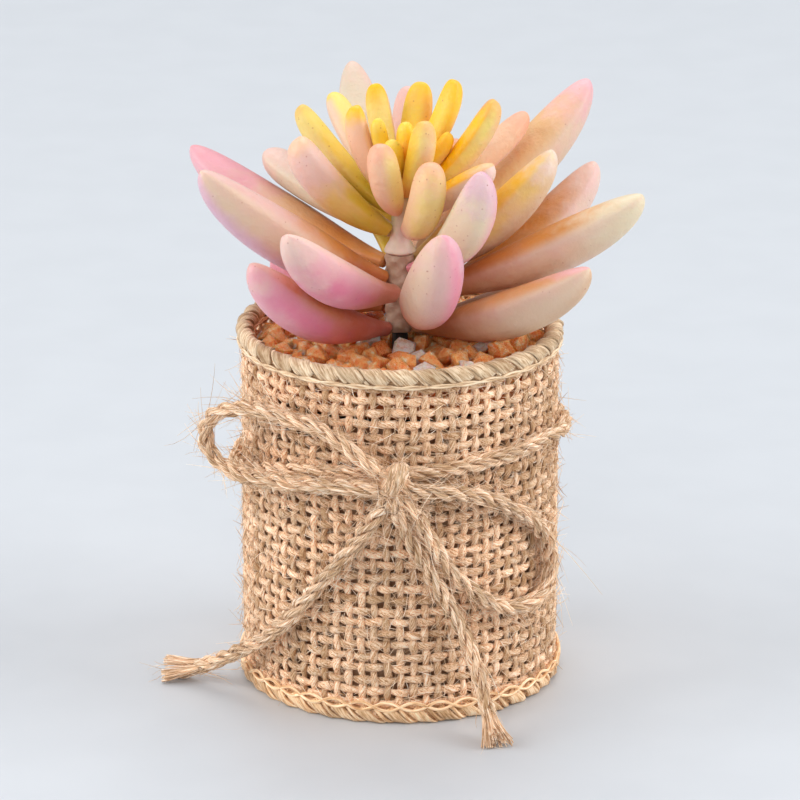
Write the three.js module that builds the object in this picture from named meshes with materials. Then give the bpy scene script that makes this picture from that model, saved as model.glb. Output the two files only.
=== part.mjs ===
// Small artificial sedum in a burlap-wrapped pot, tied with a jute twine bow.
//
// Millimetres, +Z up. The origin is the centre of the pot's flat underside, and the bow is on the
// -Y side. Every piece is a closed solid of its own; pieces that touch keep a small clearance.

import * as THREE from 'three';

// ---------------------------------------------------------------------------
// Driving dimensions
// ---------------------------------------------------------------------------

const CLEARANCE = 0.3;            // gap kept between pieces that touch
const ROUND_SEGMENTS = 48;        // facets around the pot and its sleeve

const POT_RADIUS = 28.5;          // outside of the inner pot
const POT_FOOT_RADIUS = 27.2;     // recessed foot, which the lower edging tucks around
const POT_FOOT_HEIGHT = 4.4;
const POT_HEIGHT = 59.0;         // the sleeve stands taller than the pot
const POT_WALL = 1.5;
const POT_FLOOR = 2.0;
const POT_STEP = 1.2;             // height over which the foot widens into the body

const SLEEVE_INNER_RADIUS = POT_RADIUS + CLEARANCE;
const SLEEVE_THICKNESS = 0.9;
const SLEEVE_OUTER_RADIUS = SLEEVE_INNER_RADIUS + SLEEVE_THICKNESS;
const SLEEVE_HEIGHT = 69.4;       // over both edgings
const EDGING_HEIGHT = 3.3;
const EDGING_LEG = 0.65;          // thickness of the edging on each face of the cloth
const EDGING_CROWN = 0.9;         // thickness of the edging over the cloth's cut edge
const EDGING_BEVEL = 0.6;

const FOAM_TOP = 53.0;
const GRAVEL_TOP = 66.3;
const GRAVEL_RIM_DROP = 1.4;      // the crust is lower where it meets the sleeve
const GRAVEL_UNEVENNESS = 0.55;
const GRAVEL_SEGMENTS = 36;

const STEM_RADIUS = 2.8;
const STEM_FOOT = 67.4;
const STEM_TOP = 83.3;
const STEM_BORE = 1.8;
const STEM_BORE_DEPTH = 7.5;
const STEM_LIP = 0.4;             // how far the stem's foot is rounded in
const PEG_RADIUS = STEM_BORE - CLEARANCE;
const PEG_FOOT = 32.0;
const PEG_POINT = 1.5;
const CROWN_STEM_RADIUS = 1.6;    // the thin stem of the upper rosette
const CROWN_COLLAR_RADIUS = 2.8;  // flared collar that sits on the lower stem
const CROWN_COLLAR_HEIGHT = 4.6;
const CROWN_TOP = 103.5;
const CROWN_BUD_HEIGHT = 4;       // the stem narrows over this much at its top
const CROWN_PIN_RADIUS = 1.0;     // pin under the collar, plugged into the lower stem
const CROWN_PIN_LENGTH = 6.5;

const LEAF_TOP_SHARE = 0.32;      // share of a leaf's depth above its edges: the top is flatter
const LEAF_SQUARENESS = 0.85;     // below 1 the leaf's section is fuller at its edges
const LEAF_SIDES = 10;
const LEAF_RINGS = 8;

const TWINE = 2.4;                // twine diameter
const TWINE_SIDES = 8;
const WRAP_RADIUS = SLEEVE_OUTER_RADIUS + CLEARANCE + TWINE / 2;
const KNOT_HALF_SIZE = [2.4, 2.2, 3.7];
const KNOT_X = -1.0;
const KNOT_HEIGHT = 50.0;

// ---------------------------------------------------------------------------
// Materials
// ---------------------------------------------------------------------------

const material = (color, roughness) => new THREE.MeshStandardMaterial({ color, roughness, metalness: 0 });

const MATERIALS = {
  pot: material(0xb9a79d, 0.7),
  foam: material(0x5d6b4c, 0.95),
  gravel: material(0xc8693a, 0.7),
  burlap: material(0xcba67b, 0.95),
  edging: material(0xd8b98c, 0.9),
  twine: material(0xc09a6c, 0.95),
  peg: material(0x1d1a18, 0.6),
  stem: material(0x9c8a6c, 0.6),
  lowerLeaf: material(0xd9a3a3, 0.45),
  upperLeaf: material(0xf0cf72, 0.45),
};

// ---------------------------------------------------------------------------
// Shape helpers
// ---------------------------------------------------------------------------

/** Solid of revolution about Z from [radius, height] pairs that run counter-clockwise. */
function turned(profile, segments = ROUND_SEGMENTS) {
  const points = profile.map(([radius, height]) => new THREE.Vector2(radius, height));
  const geometry = new THREE.LatheGeometry(points, segments);
  geometry.rotateX(Math.PI / 2);
  return geometry;
}

/** Round rod along a curve, made by extruding its section. */
function rod(curve, diameter, steps, sides = TWINE_SIDES) {
  const section = new THREE.Shape();
  for (let side = 0; side < sides; side += 1) {
    const angle = (side / sides) * Math.PI * 2;
    const x = (diameter / 2) * Math.cos(angle);
    const y = (diameter / 2) * Math.sin(angle);
    if (side === 0) section.moveTo(x, y);
    else section.lineTo(x, y);
  }
  section.closePath();
  return new THREE.ExtrudeGeometry(section, { steps, bevelEnabled: false, extrudePath: curve });
}

const curveThrough = (points, closed = false) =>
  new THREE.CatmullRomCurve3(points.map(([x, y, z]) => new THREE.Vector3(x, y, z)), closed, 'centripetal');

// ---------------------------------------------------------------------------
// Pot, filling and sleeve
// ---------------------------------------------------------------------------

function innerPot() {
  return turned([
    [0, 0],
    [POT_FOOT_RADIUS, 0],
    [POT_FOOT_RADIUS, POT_FOOT_HEIGHT - POT_STEP / 2],
    [POT_RADIUS, POT_FOOT_HEIGHT + POT_STEP / 2],
    [POT_RADIUS, POT_HEIGHT],
    [POT_RADIUS - POT_WALL, POT_HEIGHT],
    [POT_RADIUS - POT_WALL, POT_FOOT_HEIGHT + 2],
    [POT_FOOT_RADIUS - POT_WALL, POT_FLOOR + 1.5],
    [POT_FOOT_RADIUS - POT_WALL - 1, POT_FLOOR],
    [0, POT_FLOOR],
  ]);
}

function foamPlug() {
  const radius = POT_RADIUS - POT_WALL - CLEARANCE;
  const foot = POT_FOOT_HEIGHT + 2;
  return turned([
    [0, POT_FLOOR + CLEARANCE],
    [POT_FOOT_RADIUS - POT_WALL - 2, POT_FLOOR + CLEARANCE],
    [radius, foot + 1.5],
    [radius, FOAM_TOP],
    [STEM_BORE, FOAM_TOP],
    [STEM_BORE, PEG_FOOT - CLEARANCE],
    [0, PEG_FOOT - CLEARANCE],
  ], 32);
}

/** Crust of glued gravel: its top is uneven, and the stem's peg goes down through its middle. */
function gravelBed() {
  const inPot = POT_RADIUS - POT_WALL - CLEARANCE;
  const overPot = SLEEVE_INNER_RADIUS - CLEARANCE - EDGING_LEG;
  const geometry = turned([
    [STEM_BORE, FOAM_TOP + CLEARANCE],
    [inPot, FOAM_TOP + CLEARANCE],
    [inPot, POT_HEIGHT + CLEARANCE],
    [overPot, POT_HEIGHT + CLEARANCE],
    [overPot, GRAVEL_TOP - GRAVEL_RIM_DROP],
    [23, GRAVEL_TOP],
    [16, GRAVEL_TOP],
    [9, GRAVEL_TOP],
    [STEM_BORE, GRAVEL_TOP],
    [STEM_BORE, FOAM_TOP + CLEARANCE],
  ], GRAVEL_SEGMENTS);
  const position = geometry.attributes.position;
  for (let i = 0; i < position.count; i += 1) {
    if (position.getZ(i) < GRAVEL_TOP - 0.01) continue;
    const x = position.getX(i);
    const y = position.getY(i);
    const bump = Math.sin(1.7 * x + 0.4 * y) * Math.cos(1.3 * y - 0.6 * x);
    position.setZ(i, GRAVEL_TOP + GRAVEL_UNEVENNESS * bump);
  }
  return geometry;
}

function burlapSleeve() {
  const foot = EDGING_CROWN + CLEARANCE;
  const top = SLEEVE_HEIGHT - EDGING_CROWN - CLEARANCE;
  return turned([
    [SLEEVE_INNER_RADIUS, foot],
    [SLEEVE_OUTER_RADIUS, foot],
    [SLEEVE_OUTER_RADIUS, top],
    [SLEEVE_INNER_RADIUS, top],
    [SLEEVE_INNER_RADIUS, foot],
  ]);
}

/** Overlocked edging: a channel that straddles the cloth's edge. It is drawn for the upper edge. */
function edging(isUpper) {
  const inside = SLEEVE_INNER_RADIUS - CLEARANCE;
  const outside = SLEEVE_OUTER_RADIUS + CLEARANCE;
  const inner = inside - EDGING_LEG;
  const outer = outside + EDGING_LEG;
  const foot = -EDGING_HEIGHT;
  const channel = [
    [inner, foot],
    [inside, foot],
    [inside, -EDGING_CROWN],
    [outside, -EDGING_CROWN],
    [outside, foot],
    [outer, foot],
    [outer, -EDGING_BEVEL],
    [outer - EDGING_BEVEL, 0],
    [inner + EDGING_BEVEL, 0],
    [inner, -EDGING_BEVEL],
    [inner, foot],
  ];
  const profile = isUpper
    ? channel.map(([radius, drop]) => [radius, SLEEVE_HEIGHT + drop])
    : channel.map(([radius, drop]) => [radius, -drop]).reverse();
  return turned(profile);
}

// ---------------------------------------------------------------------------
// Stems
// ---------------------------------------------------------------------------

function stemPeg() {
  const top = STEM_FOOT + STEM_BORE_DEPTH - CLEARANCE;
  return turned([
    [0, PEG_FOOT],
    [PEG_RADIUS, PEG_FOOT + PEG_POINT],
    [PEG_RADIUS, top],
    [0, top],
  ], 12);
}

function lowerStem() {
  const socketRadius = CROWN_PIN_RADIUS + CLEARANCE;
  const socketFloor = STEM_TOP - CROWN_PIN_LENGTH - CLEARANCE;
  return turned([
    [0, STEM_FOOT + STEM_BORE_DEPTH],
    [STEM_BORE, STEM_FOOT + STEM_BORE_DEPTH],
    [STEM_BORE, STEM_FOOT],
    [STEM_RADIUS - STEM_LIP, STEM_FOOT],
    [STEM_RADIUS, STEM_FOOT + 3 * STEM_LIP],
    [STEM_RADIUS, (STEM_FOOT + STEM_TOP) / 2],
    [STEM_RADIUS - STEM_LIP / 2, STEM_TOP],
    [socketRadius, STEM_TOP],
    [socketRadius, socketFloor],
    [0, socketFloor],
  ], 16);
}

function upperStem() {
  const seat = STEM_TOP + CLEARANCE;
  return turned([
    [0, STEM_TOP - CROWN_PIN_LENGTH],
    [CROWN_PIN_RADIUS, STEM_TOP - CROWN_PIN_LENGTH],
    [CROWN_PIN_RADIUS, seat],
    [CROWN_COLLAR_RADIUS, seat],
    [CROWN_COLLAR_RADIUS - 0.6, seat + 1.4],
    [CROWN_STEM_RADIUS, seat + CROWN_COLLAR_HEIGHT],
    [CROWN_STEM_RADIUS, CROWN_TOP - CROWN_BUD_HEIGHT],
    [CROWN_STEM_RADIUS - 0.6, CROWN_TOP - 0.5],
    [0, CROWN_TOP],
  ], 16);
}

// ---------------------------------------------------------------------------
// Leaves
// ---------------------------------------------------------------------------
//
// Each leaf is a sphere drawn out along an arc. azimuth is the way it points, counter-clockwise
// from +X seen from above; foot is the height where it leaves the stem, and seat is where on the
// stem's circle if that isn't its azimuth; rise is the mean slope of its arc above level; curl is
// how much steeper its foot is than its middle. width and depth are its largest section. A row can
// override its style's widest (where that section is, as a share of the length) or base (how full
// the foot is). Angles are in degrees.

const LOWER_LEAVES = [
  { azimuth: -139, foot: 69.4, rise: 30, curl: -15, length: 38.5, width: 10, depth: 9 },
  { azimuth: -121, foot: 76.8, rise: 29, curl: -12, length: 42, width: 10.5, depth: 8.6, base: 0.42 },
  { azimuth: -155, foot: 79.2, rise: 34, curl: -8, length: 45, width: 11.5, depth: 10, widest: 0.46 },
  { azimuth: 149, foot: 81.4, rise: 20, curl: -10, length: 46.5, width: 10.5, depth: 8 },
  { azimuth: 170, foot: 73, rise: 20, curl: -8, length: 23, width: 8.5, depth: 7.5 },
  { seat: -42, azimuth: -78, foot: 72.8, rise: 40, curl: -22, length: 36, width: 11, depth: 9.5, base: 0.4 },
  { azimuth: -29, foot: 69.8, rise: 24, curl: -12, length: 40.5, width: 10.5, depth: 9 },
  { azimuth: -13, foot: 75.6, rise: 27, curl: -6, length: 48.5, width: 10.5, depth: 9, widest: 0.6 },
  { azimuth: 21, foot: 74, rise: 32, curl: -19, length: 44, width: 9.5, depth: 8, widest: 0.64 },
  { azimuth: 36, foot: 81.4, rise: 34.5, curl: -10, length: 50.5, width: 10.5, depth: 9, widest: 0.6 },
  { azimuth: 16, foot: 69.2, rise: 12, curl: -8, length: 33, width: 9, depth: 7 },
  { seat: 118, azimuth: 103, foot: 81.4, rise: 40, curl: -8, length: 45.5, width: 9.5, depth: 8 },
  { azimuth: -48, foot: 81.2, rise: 50, curl: -28, length: 31, width: 9, depth: 8 },
  { azimuth: 61, foot: 77, rise: 30, curl: -8, length: 40, width: 9, depth: 8 },
  { azimuth: -3, foot: 80, rise: 43, curl: -10, length: 35, width: 9, depth: 8, base: 0.4 },
  { azimuth: 126, foot: 72, rise: 20, curl: -8, length: 36, width: 10, depth: 8.5 },
  { azimuth: 82, foot: 70.5, rise: 18, curl: -8, length: 38, width: 10, depth: 8.5 },
];

const UPPER_LEAVES = [
  { azimuth: -170, foot: 88.2, rise: 47, curl: -14, length: 25.5, width: 8.2, depth: 7 },
  { azimuth: 158, foot: 91.6, rise: 45, curl: -8, length: 26, width: 5.4, depth: 4.8 },
  { azimuth: 121, foot: 93.6, rise: 33, curl: -8, length: 27.5, width: 5.8, depth: 4.4 },
  { azimuth: -174, foot: 94.4, rise: 71, curl: -12, length: 19, width: 5.4, depth: 4.4 },
  { azimuth: 119, foot: 96.4, rise: 66, curl: -6, length: 19.2, width: 4.8, depth: 4.2 },
  { azimuth: -146, foot: 99.2, rise: 75, curl: -4, length: 11.5, width: 3.4, depth: 3 },
  { azimuth: 71, foot: 94, rise: 62, curl: -6, length: 22, width: 5.8, depth: 4.6 },
  { azimuth: 30, foot: 98.6, rise: 60, curl: -14, length: 19.6, width: 5.2, depth: 4.2 },
  { azimuth: -10, foot: 97.5, rise: 53, curl: -8, length: 12.2, width: 3.6, depth: 3.2 },
  { azimuth: -74, foot: 99.6, rise: 80, curl: -3, length: 10.4, width: 3.4, depth: 3 },
  { azimuth: -60, foot: 95.4, rise: 66, curl: -16, length: 17.5, width: 5.4, depth: 4.6 },
  { azimuth: -107, foot: 92.2, rise: 57, curl: -20, length: 19, width: 6.2, depth: 5.2 },
  { seat: -50, azimuth: -71, foot: 88.6, rise: 51, curl: -34, length: 22.5, width: 6.8, depth: 6.4 },
  { azimuth: -31, foot: 90.6, rise: 35, curl: 4, length: 22, width: 6, depth: 5 },
  { azimuth: -3, foot: 93.4, rise: 52, curl: -12, length: 25.5, width: 6.4, depth: 5 },
  { azimuth: 35, foot: 91.4, rise: 28, curl: -8, length: 31, width: 6, depth: 5 },
  { azimuth: -102, foot: 97.6, rise: 62, curl: -6, length: 11, width: 3.8, depth: 3.2 },
  { azimuth: 86, foot: 90.2, rise: 44, curl: -8, length: 28, width: 5.6, depth: 5 },
  { azimuth: 62, foot: 87.6, rise: 28, curl: -10, length: 25, width: 7, depth: 5.6 },
  { azimuth: 138, foot: 87.4, rise: 16, curl: -4, length: 33.5, width: 8, depth: 6, widest: 0.7 },
];

/** Outlines of the two kinds of leaf: the lower ones taper, and the upper ones are finger-like. */
const LOWER_STYLE = { widest: 0.52, base: 0.3, swell: 1.4, blunt: 2.2, taper: 0.66 };
const UPPER_STYLE = { widest: 0.6, base: 0.36, swell: 0.9, blunt: 2.6, taper: 0.5 };

/** How full the leaf is at a share s of its length, from its narrow foot to its rounded tip. */
function fullness(s, shape) {
  if (s <= shape.widest) {
    const growth = Math.sin((Math.PI / 2) * (s / shape.widest)) ** shape.swell;
    return shape.base + (1 - shape.base) * growth;
  }
  const beyond = (s - shape.widest) / (1 - shape.widest);
  return (1 - beyond ** shape.blunt) ** shape.taper;
}

/** The leaf's closed solid, from its foot beside the stem to its tip. */
function leafSolid(leaf, style, stemRadius) {
  const radians = THREE.MathUtils.degToRad;
  const shape = { ...style, ...leaf };
  const heading = radians(leaf.azimuth);
  const outward = new THREE.Vector3(Math.cos(heading), Math.sin(heading), 0);
  const sideways = new THREE.Vector3(-Math.sin(heading), Math.cos(heading), 0);
  const up = new THREE.Vector3(0, 0, 1);
  const seat = radians(leaf.seat ?? leaf.azimuth);
  const reach = stemRadius + CLEARANCE;
  const start = new THREE.Vector3(reach * Math.cos(seat), reach * Math.sin(seat), leaf.foot);
  const footPitch = radians(leaf.rise + leaf.curl);
  const sweep = radians(-2 * leaf.curl);
  const arcRadius = leaf.length / sweep;

  const geometry = new THREE.SphereGeometry(1, LEAF_SIDES, LEAF_RINGS);
  const position = geometry.attributes.position;
  const vertex = new THREE.Vector3();
  for (let i = 0; i < position.count; i += 1) {
    vertex.fromBufferAttribute(position, i);
    const share = (1 - vertex.y) / 2;
    const around = Math.atan2(vertex.z, vertex.x);
    const isPole = Math.abs(vertex.y) > 0.9999;
    const girth = isPole ? 0 : fullness(share, shape);

    const pitch = footPitch + sweep * share;
    const out = arcRadius * (Math.sin(pitch) - Math.sin(footPitch));
    const rise = arcRadius * (Math.cos(footPitch) - Math.cos(pitch));
    const along = outward.clone().multiplyScalar(Math.cos(pitch)).addScaledVector(up, Math.sin(pitch));
    const above = along.clone().cross(sideways);

    const edge = Math.cos(around);
    const spread = Math.sign(edge) * Math.abs(edge) ** LEAF_SQUARENESS;
    const lift = Math.sin(around);
    const thickness = leaf.depth * (lift > 0 ? LEAF_TOP_SHARE : 1 - LEAF_TOP_SHARE);
    const point = start.clone()
      .addScaledVector(outward, out)
      .addScaledVector(up, rise)
      .addScaledVector(sideways, (leaf.width / 2) * girth * spread)
      .addScaledVector(above, thickness * girth * lift);
    position.setXYZ(i, point.x, point.y, point.z);
  }
  return geometry;
}

// ---------------------------------------------------------------------------
// Twine
// ---------------------------------------------------------------------------

/** Height of the twine around the pot at each compass angle in degrees: it sags on the left. */
const WRAP_HEIGHTS = [
  [-90, 50.0], [-60, 51.2], [-30, 51.6], [0, 50.0], [40, 48.5], [80, 46.5],
  [120, 44.0], [155, 42.2], [180, 42.0], [-155, 45.0], [-130, 48.4], [-110, 49.8],
];

const LEFT_LOOP_ROUTE = [
  [-3.9, -34.6, 51.6], [-8.2, -33.2, 54.8], [-12.0, -31.0, 57.2], [-15.8, -28.8, 58.5], [-21.3, -25.4, 59.2],
  [-26.3, -21.8, 59.6], [-31.0, -18.8, 58.8], [-34.6, -16.8, 56.9], [-36.4, -15.8, 53.5],
  [-36.0, -16.0, 50.2], [-33.9, -17.4, 47.8], [-30.2, -20.2, 46.4], [-25.6, -24.0, 46.6],
  [-19.2, -28.4, 47.4], [-12.8, -32.0, 48.2], [-7.6, -34.2, 48.6], [-3.9, -35.2, 48.4],
];

const RIGHT_LOOP_ROUTE = [
  [2.2, -35.0, 48.4], [7.6, -33.4, 47.4], [13.6, -29.6, 45.5], [18.8, -25.9, 42.5], [23.5, -21.6, 38.7],
  [26.5, -17.9, 34.3], [28.2, -15.2, 29.5], [28.3, -15.0, 25.0], [27.2, -17.2, 22.2], [24.5, -20.9, 21.0],
  [20.6, -24.6, 21.4], [16.3, -28.0, 24.0], [12.6, -30.2, 27.6], [9.4, -31.7, 31.5], [6.0, -33.2, 37.3],
  [3.2, -35.0, 43.2],
];

const LEFT_TAIL_ROUTE = [
  [-3.0, -35.0, 45.2], [-6.8, -32.8, 39.0], [-11.4, -30.2, 32.3], [-16.2, -27.6, 25.8], [-20.8, -24.6, 19.2],
  [-25.6, -20.2, 13.4], [-30.4, -15.0, 8.8], [-35.1, -11.0, 5.1], [-40.0, -8.5, 2.7], [-45.0, -7.0, 1.4],
];

const RIGHT_TAIL_ROUTE = [
  [-0.6, -35.4, 44.4], [2.6, -33.6, 36.8], [6.6, -32.2, 29.1], [10.4, -31.4, 21.9], [13.3, -31.8, 15.1],
  [15.1, -33.2, 9.6], [16.3, -35.6, 5.5], [17.4, -39.4, 2.4], [18.0, -42.4, 1.4],
];

function twineWrap() {
  const points = WRAP_HEIGHTS.map(([degrees, height]) => {
    const angle = THREE.MathUtils.degToRad(degrees);
    return [WRAP_RADIUS * Math.cos(angle), WRAP_RADIUS * Math.sin(angle), height];
  });
  return rod(curveThrough(points, true), TWINE, 48);
}

/** The bow's knot: a bead of twine drawn tight over the crossing. */
function bowKnot() {
  const geometry = new THREE.SphereGeometry(1, 12, 8);
  const [halfWidth, halfDepth, halfHeight] = KNOT_HALF_SIZE;
  geometry.scale(halfWidth, halfDepth, halfHeight);
  geometry.translate(KNOT_X, -WRAP_RADIUS - TWINE / 2 - CLEARANCE - halfDepth, KNOT_HEIGHT);
  return geometry;
}

// ---------------------------------------------------------------------------
// Assembly
// ---------------------------------------------------------------------------

const assembly = new THREE.Group();
const twoDigits = (number) => String(number).padStart(2, '0');

function add(name, geometry, finish) {
  const mesh = new THREE.Mesh(geometry, finish);
  mesh.name = name;
  assembly.add(mesh);
}

add('inner_pot', innerPot(), MATERIALS.pot);
add('foam_plug', foamPlug(), MATERIALS.foam);
add('gravel_bed', gravelBed(), MATERIALS.gravel);
add('burlap_wrap', burlapSleeve(), MATERIALS.burlap);
add('top_edging', edging(true), MATERIALS.edging);
add('bottom_edging', edging(false), MATERIALS.edging);
add('stem_peg', stemPeg(), MATERIALS.peg);
add('lower_stem', lowerStem(), MATERIALS.stem);
add('upper_stem', upperStem(), MATERIALS.stem);
LOWER_LEAVES.forEach((leaf, index) => {
  const solid = leafSolid(leaf, LOWER_STYLE, STEM_RADIUS);
  add(`lower_leaf_${twoDigits(index + 1)}`, solid, MATERIALS.lowerLeaf);
});
UPPER_LEAVES.forEach((leaf, index) => {
  const solid = leafSolid(leaf, UPPER_STYLE, CROWN_STEM_RADIUS);
  add(`upper_leaf_${twoDigits(index + 1)}`, solid, MATERIALS.upperLeaf);
});
add('twine_wrap', twineWrap(), MATERIALS.twine);
add('bow_knot', bowKnot(), MATERIALS.twine);
add('bow_loop_left', rod(curveThrough(LEFT_LOOP_ROUTE), TWINE, 34), MATERIALS.twine);
add('bow_loop_right', rod(curveThrough(RIGHT_LOOP_ROUTE), TWINE, 34), MATERIALS.twine);
add('twine_tail_left', rod(curveThrough(LEFT_TAIL_ROUTE), TWINE, 20), MATERIALS.twine);
add('twine_tail_right', rod(curveThrough(RIGHT_TAIL_ROUTE), TWINE, 18), MATERIALS.twine);

export default assembly;
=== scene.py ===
"""Looks of a small artificial sedum in a burlap-wrapped pot, tied with a jute twine bow.

The classes keep their sizes in millimetres, as the CAD source does, and every mesh is turned
into metres once, when it is made. +Z is up, the origin is the centre of the pot's underside and
the bow is on the -Y side.
"""

import logging
import math
from dataclasses import dataclass
from enum import Enum
from typing import Any, ClassVar, Iterable, Sequence

import bmesh
import bpy
import numpy as np
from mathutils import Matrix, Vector


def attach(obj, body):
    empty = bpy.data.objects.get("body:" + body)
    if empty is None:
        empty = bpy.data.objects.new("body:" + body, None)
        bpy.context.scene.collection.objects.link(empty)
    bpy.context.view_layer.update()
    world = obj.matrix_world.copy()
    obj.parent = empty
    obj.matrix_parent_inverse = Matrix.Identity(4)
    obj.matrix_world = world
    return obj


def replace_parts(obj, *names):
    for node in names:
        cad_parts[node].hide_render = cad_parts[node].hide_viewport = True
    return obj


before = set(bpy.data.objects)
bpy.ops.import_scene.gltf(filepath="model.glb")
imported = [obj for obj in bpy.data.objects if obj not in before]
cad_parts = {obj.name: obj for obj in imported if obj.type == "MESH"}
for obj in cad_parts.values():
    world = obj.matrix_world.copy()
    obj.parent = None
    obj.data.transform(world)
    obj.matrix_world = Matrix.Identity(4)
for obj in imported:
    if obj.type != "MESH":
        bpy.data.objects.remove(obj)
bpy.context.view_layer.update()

log = logging.getLogger("sedum")

MM = 0.001
BODY = "root"
UP = np.array([0.0, 0.0, 1.0])
FRONT = -math.pi / 2
BACK = math.pi / 2  # where what goes around the pot starts and ends
Array = np.ndarray
Colour = tuple[float, float, float, float]
Stops = Sequence[tuple[float, str]]
Points = Sequence[Sequence[float]]
Profile = Sequence[tuple[float, float]]


# ---- Materials: a small language for shader nodes ----


def rgb(code: str) -> Colour:
    """Linear colour of an sRGB code.

    Args:
        code: Six hexadecimal figures.

    Returns:
        Red, green, blue and a full alpha.
    """
    parts = [int(code[i : i + 2], 16) / 255 for i in (0, 2, 4)]
    linear = [p / 12.92 if p <= 0.04045 else ((p + 0.055) / 1.055) ** 2.4 for p in parts]
    return (linear[0], linear[1], linear[2], 1.0)


class Wire:
    """A value on its way through a material's nodes, for use in Python expressions."""

    def __init__(self, paint: "Paint", node: bpy.types.Node, output: int | str = 0) -> None:
        """Takes one of a node's outputs.

        Args:
            paint: The material under construction.
            node: The node. The material's own output node has no outputs.
            output: The output's number or name.
        """
        self.paint = paint
        self.node = node
        self.socket = node.outputs[output] if node.outputs else None

    def other(self, output: int | str) -> "Wire":
        """Another output of the same node."""
        return Wire(self.paint, self.node, output)

    def _maths(self, operation: str, *values: Any) -> "Wire":
        """A Math node on these values."""
        return self.paint.node("ShaderNodeMath", {"operation": operation}, dict(enumerate(values)))

    def __add__(self, value: Any) -> "Wire":
        """Sum."""
        return self._maths("ADD", self, value)

    __radd__ = __add__

    def __sub__(self, value: Any) -> "Wire":
        """Difference."""
        return self._maths("SUBTRACT", self, value)

    def __rsub__(self, value: Any) -> "Wire":
        """Difference, the other way round."""
        return self._maths("SUBTRACT", value, self)

    def __mul__(self, value: Any) -> "Wire":
        """Product."""
        return self._maths("MULTIPLY", self, value)

    __rmul__ = __mul__

    def __abs__(self) -> "Wire":
        """Size without its sign."""
        return self._maths("ABSOLUTE", self)

    def rises(self, start: float, end: float, low: float = 0.0, high: float = 1.0) -> "Wire":
        """Smooth step from low at start to high at end.

        Args:
            start: Value where the step begins.
            end: Value where it is complete.
            low: Result before the step.
            high: Result after it.

        Returns:
            The stepped value.
        """
        return self.paint.node(
            "ShaderNodeMapRange",
            {"interpolation_type": "SMOOTHSTEP", "clamp": True},
            {"Value": self, "From Min": start, "From Max": end, "To Min": low, "To Max": high},
        )


class Paint:
    """A material under construction, with its principled shader."""

    def __init__(self, name: str) -> None:
        """Starts an empty material.

        Args:
            name: Its name.
        """
        self.material = bpy.data.materials.new(name)
        self.material.use_nodes = True
        self.tree = self.material.node_tree
        self.tree.nodes.clear()

    def node(
        self,
        kind: str,
        settings: dict[str, Any] | None = None,
        inputs: dict[int | str, Any] | None = None,
        output: int | str = 0,
    ) -> Wire:
        """Adds a node.

        Args:
            kind: The node's type.
            settings: Its own settings, which are made first. A colour ramp's are its stops.
            inputs: Values or wires for its sockets.
            output: The output that is wanted.

        Returns:
            The wire from that output.
        """
        made = self.tree.nodes.new(kind)
        for name, value in (settings or {}).items():
            if name == "stops":
                ramp = made.color_ramp
                while len(ramp.elements) < len(value):
                    ramp.elements.new(0.5)
                for element, (place, code) in zip(ramp.elements, value):
                    element.position, element.color = place, rgb(code)
            else:
                setattr(made, name, value)
        for key, value in (inputs or {}).items():
            socket = made.inputs[key]
            if isinstance(value, Wire):
                self.tree.links.new(value.socket, socket)
            else:
                socket.default_value = value
        return Wire(self, made, output)

    def blend(self, share: Any, first: Wire | str, second: Wire | str, mode: str = "MIX") -> Wire:
        """Mixes two colours.

        Args:
            share: How much of the second colour, as a number or wire.
            first: Colour's code or wire.
            second: Colour's code or wire.
            mode: Blend type.

        Returns:
            The mixed colour.
        """
        first, second = (rgb(one) if isinstance(one, str) else one for one in (first, second))
        return self.node(
            "ShaderNodeMix",
            {"data_type": "RGBA", "blend_type": mode, "clamp_factor": True},
            {0: share, 6: first, 7: second},
            2,
        )

    def scaled(self, vector: Wire, scale: tuple[float, float, float]) -> Wire:
        """The vector times a scale for each axis."""
        return self.node("ShaderNodeVectorMath", {"operation": "MULTIPLY"}, {0: vector, 1: scale})

    def placed(self) -> Wire:
        """Object coordinates."""
        return self.node("ShaderNodeTexCoord", output="Object")

    def attribute(self, name: str, output: str = "Vector") -> Wire:
        """A named attribute of the mesh."""
        settings = {"attribute_type": "GEOMETRY", "attribute_name": name}
        return self.node("ShaderNodeAttribute", settings, output=output)

    def noise(self, where: Wire, scale: float, detail: float = 2.0, rough: float = 0.5) -> Wire:
        """Noise between 0 and 1.

        Args:
            where: Coordinates.
            scale: Features for each unit of the coordinates.
            detail: Octaves.
            rough: Strength of the finer octaves.

        Returns:
            The noise value.
        """
        return self.node(
            "ShaderNodeTexNoise",
            inputs={"Vector": where, "Scale": scale, "Detail": detail, "Roughness": rough},
        )

    def ramp(self, value: Wire, stops: Stops) -> Wire:
        """Colour ramp over the value."""
        return self.node("ShaderNodeValToRGB", {"stops": stops}, {0: value})

    def bump(self, height: Wire, depth: float, strength: float = 1.0) -> Wire:
        """Normal of a relief of that depth in metres."""
        return self.node(
            "ShaderNodeBump", inputs={"Height": height, "Distance": depth, "Strength": strength}
        )

    def finish(self, **inputs: Any) -> bpy.types.Material:
        """Adds the principled shader and the output.

        Args:
            inputs: The shader's sockets, with _ for a space.

        Returns:
            The finished material.
        """
        named = {key.replace("_", " "): value for key, value in inputs.items()}
        shader = self.node("ShaderNodeBsdfPrincipled", inputs=named)
        self.node("ShaderNodeOutputMaterial", inputs={"Surface": shader})
        return self.material


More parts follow.
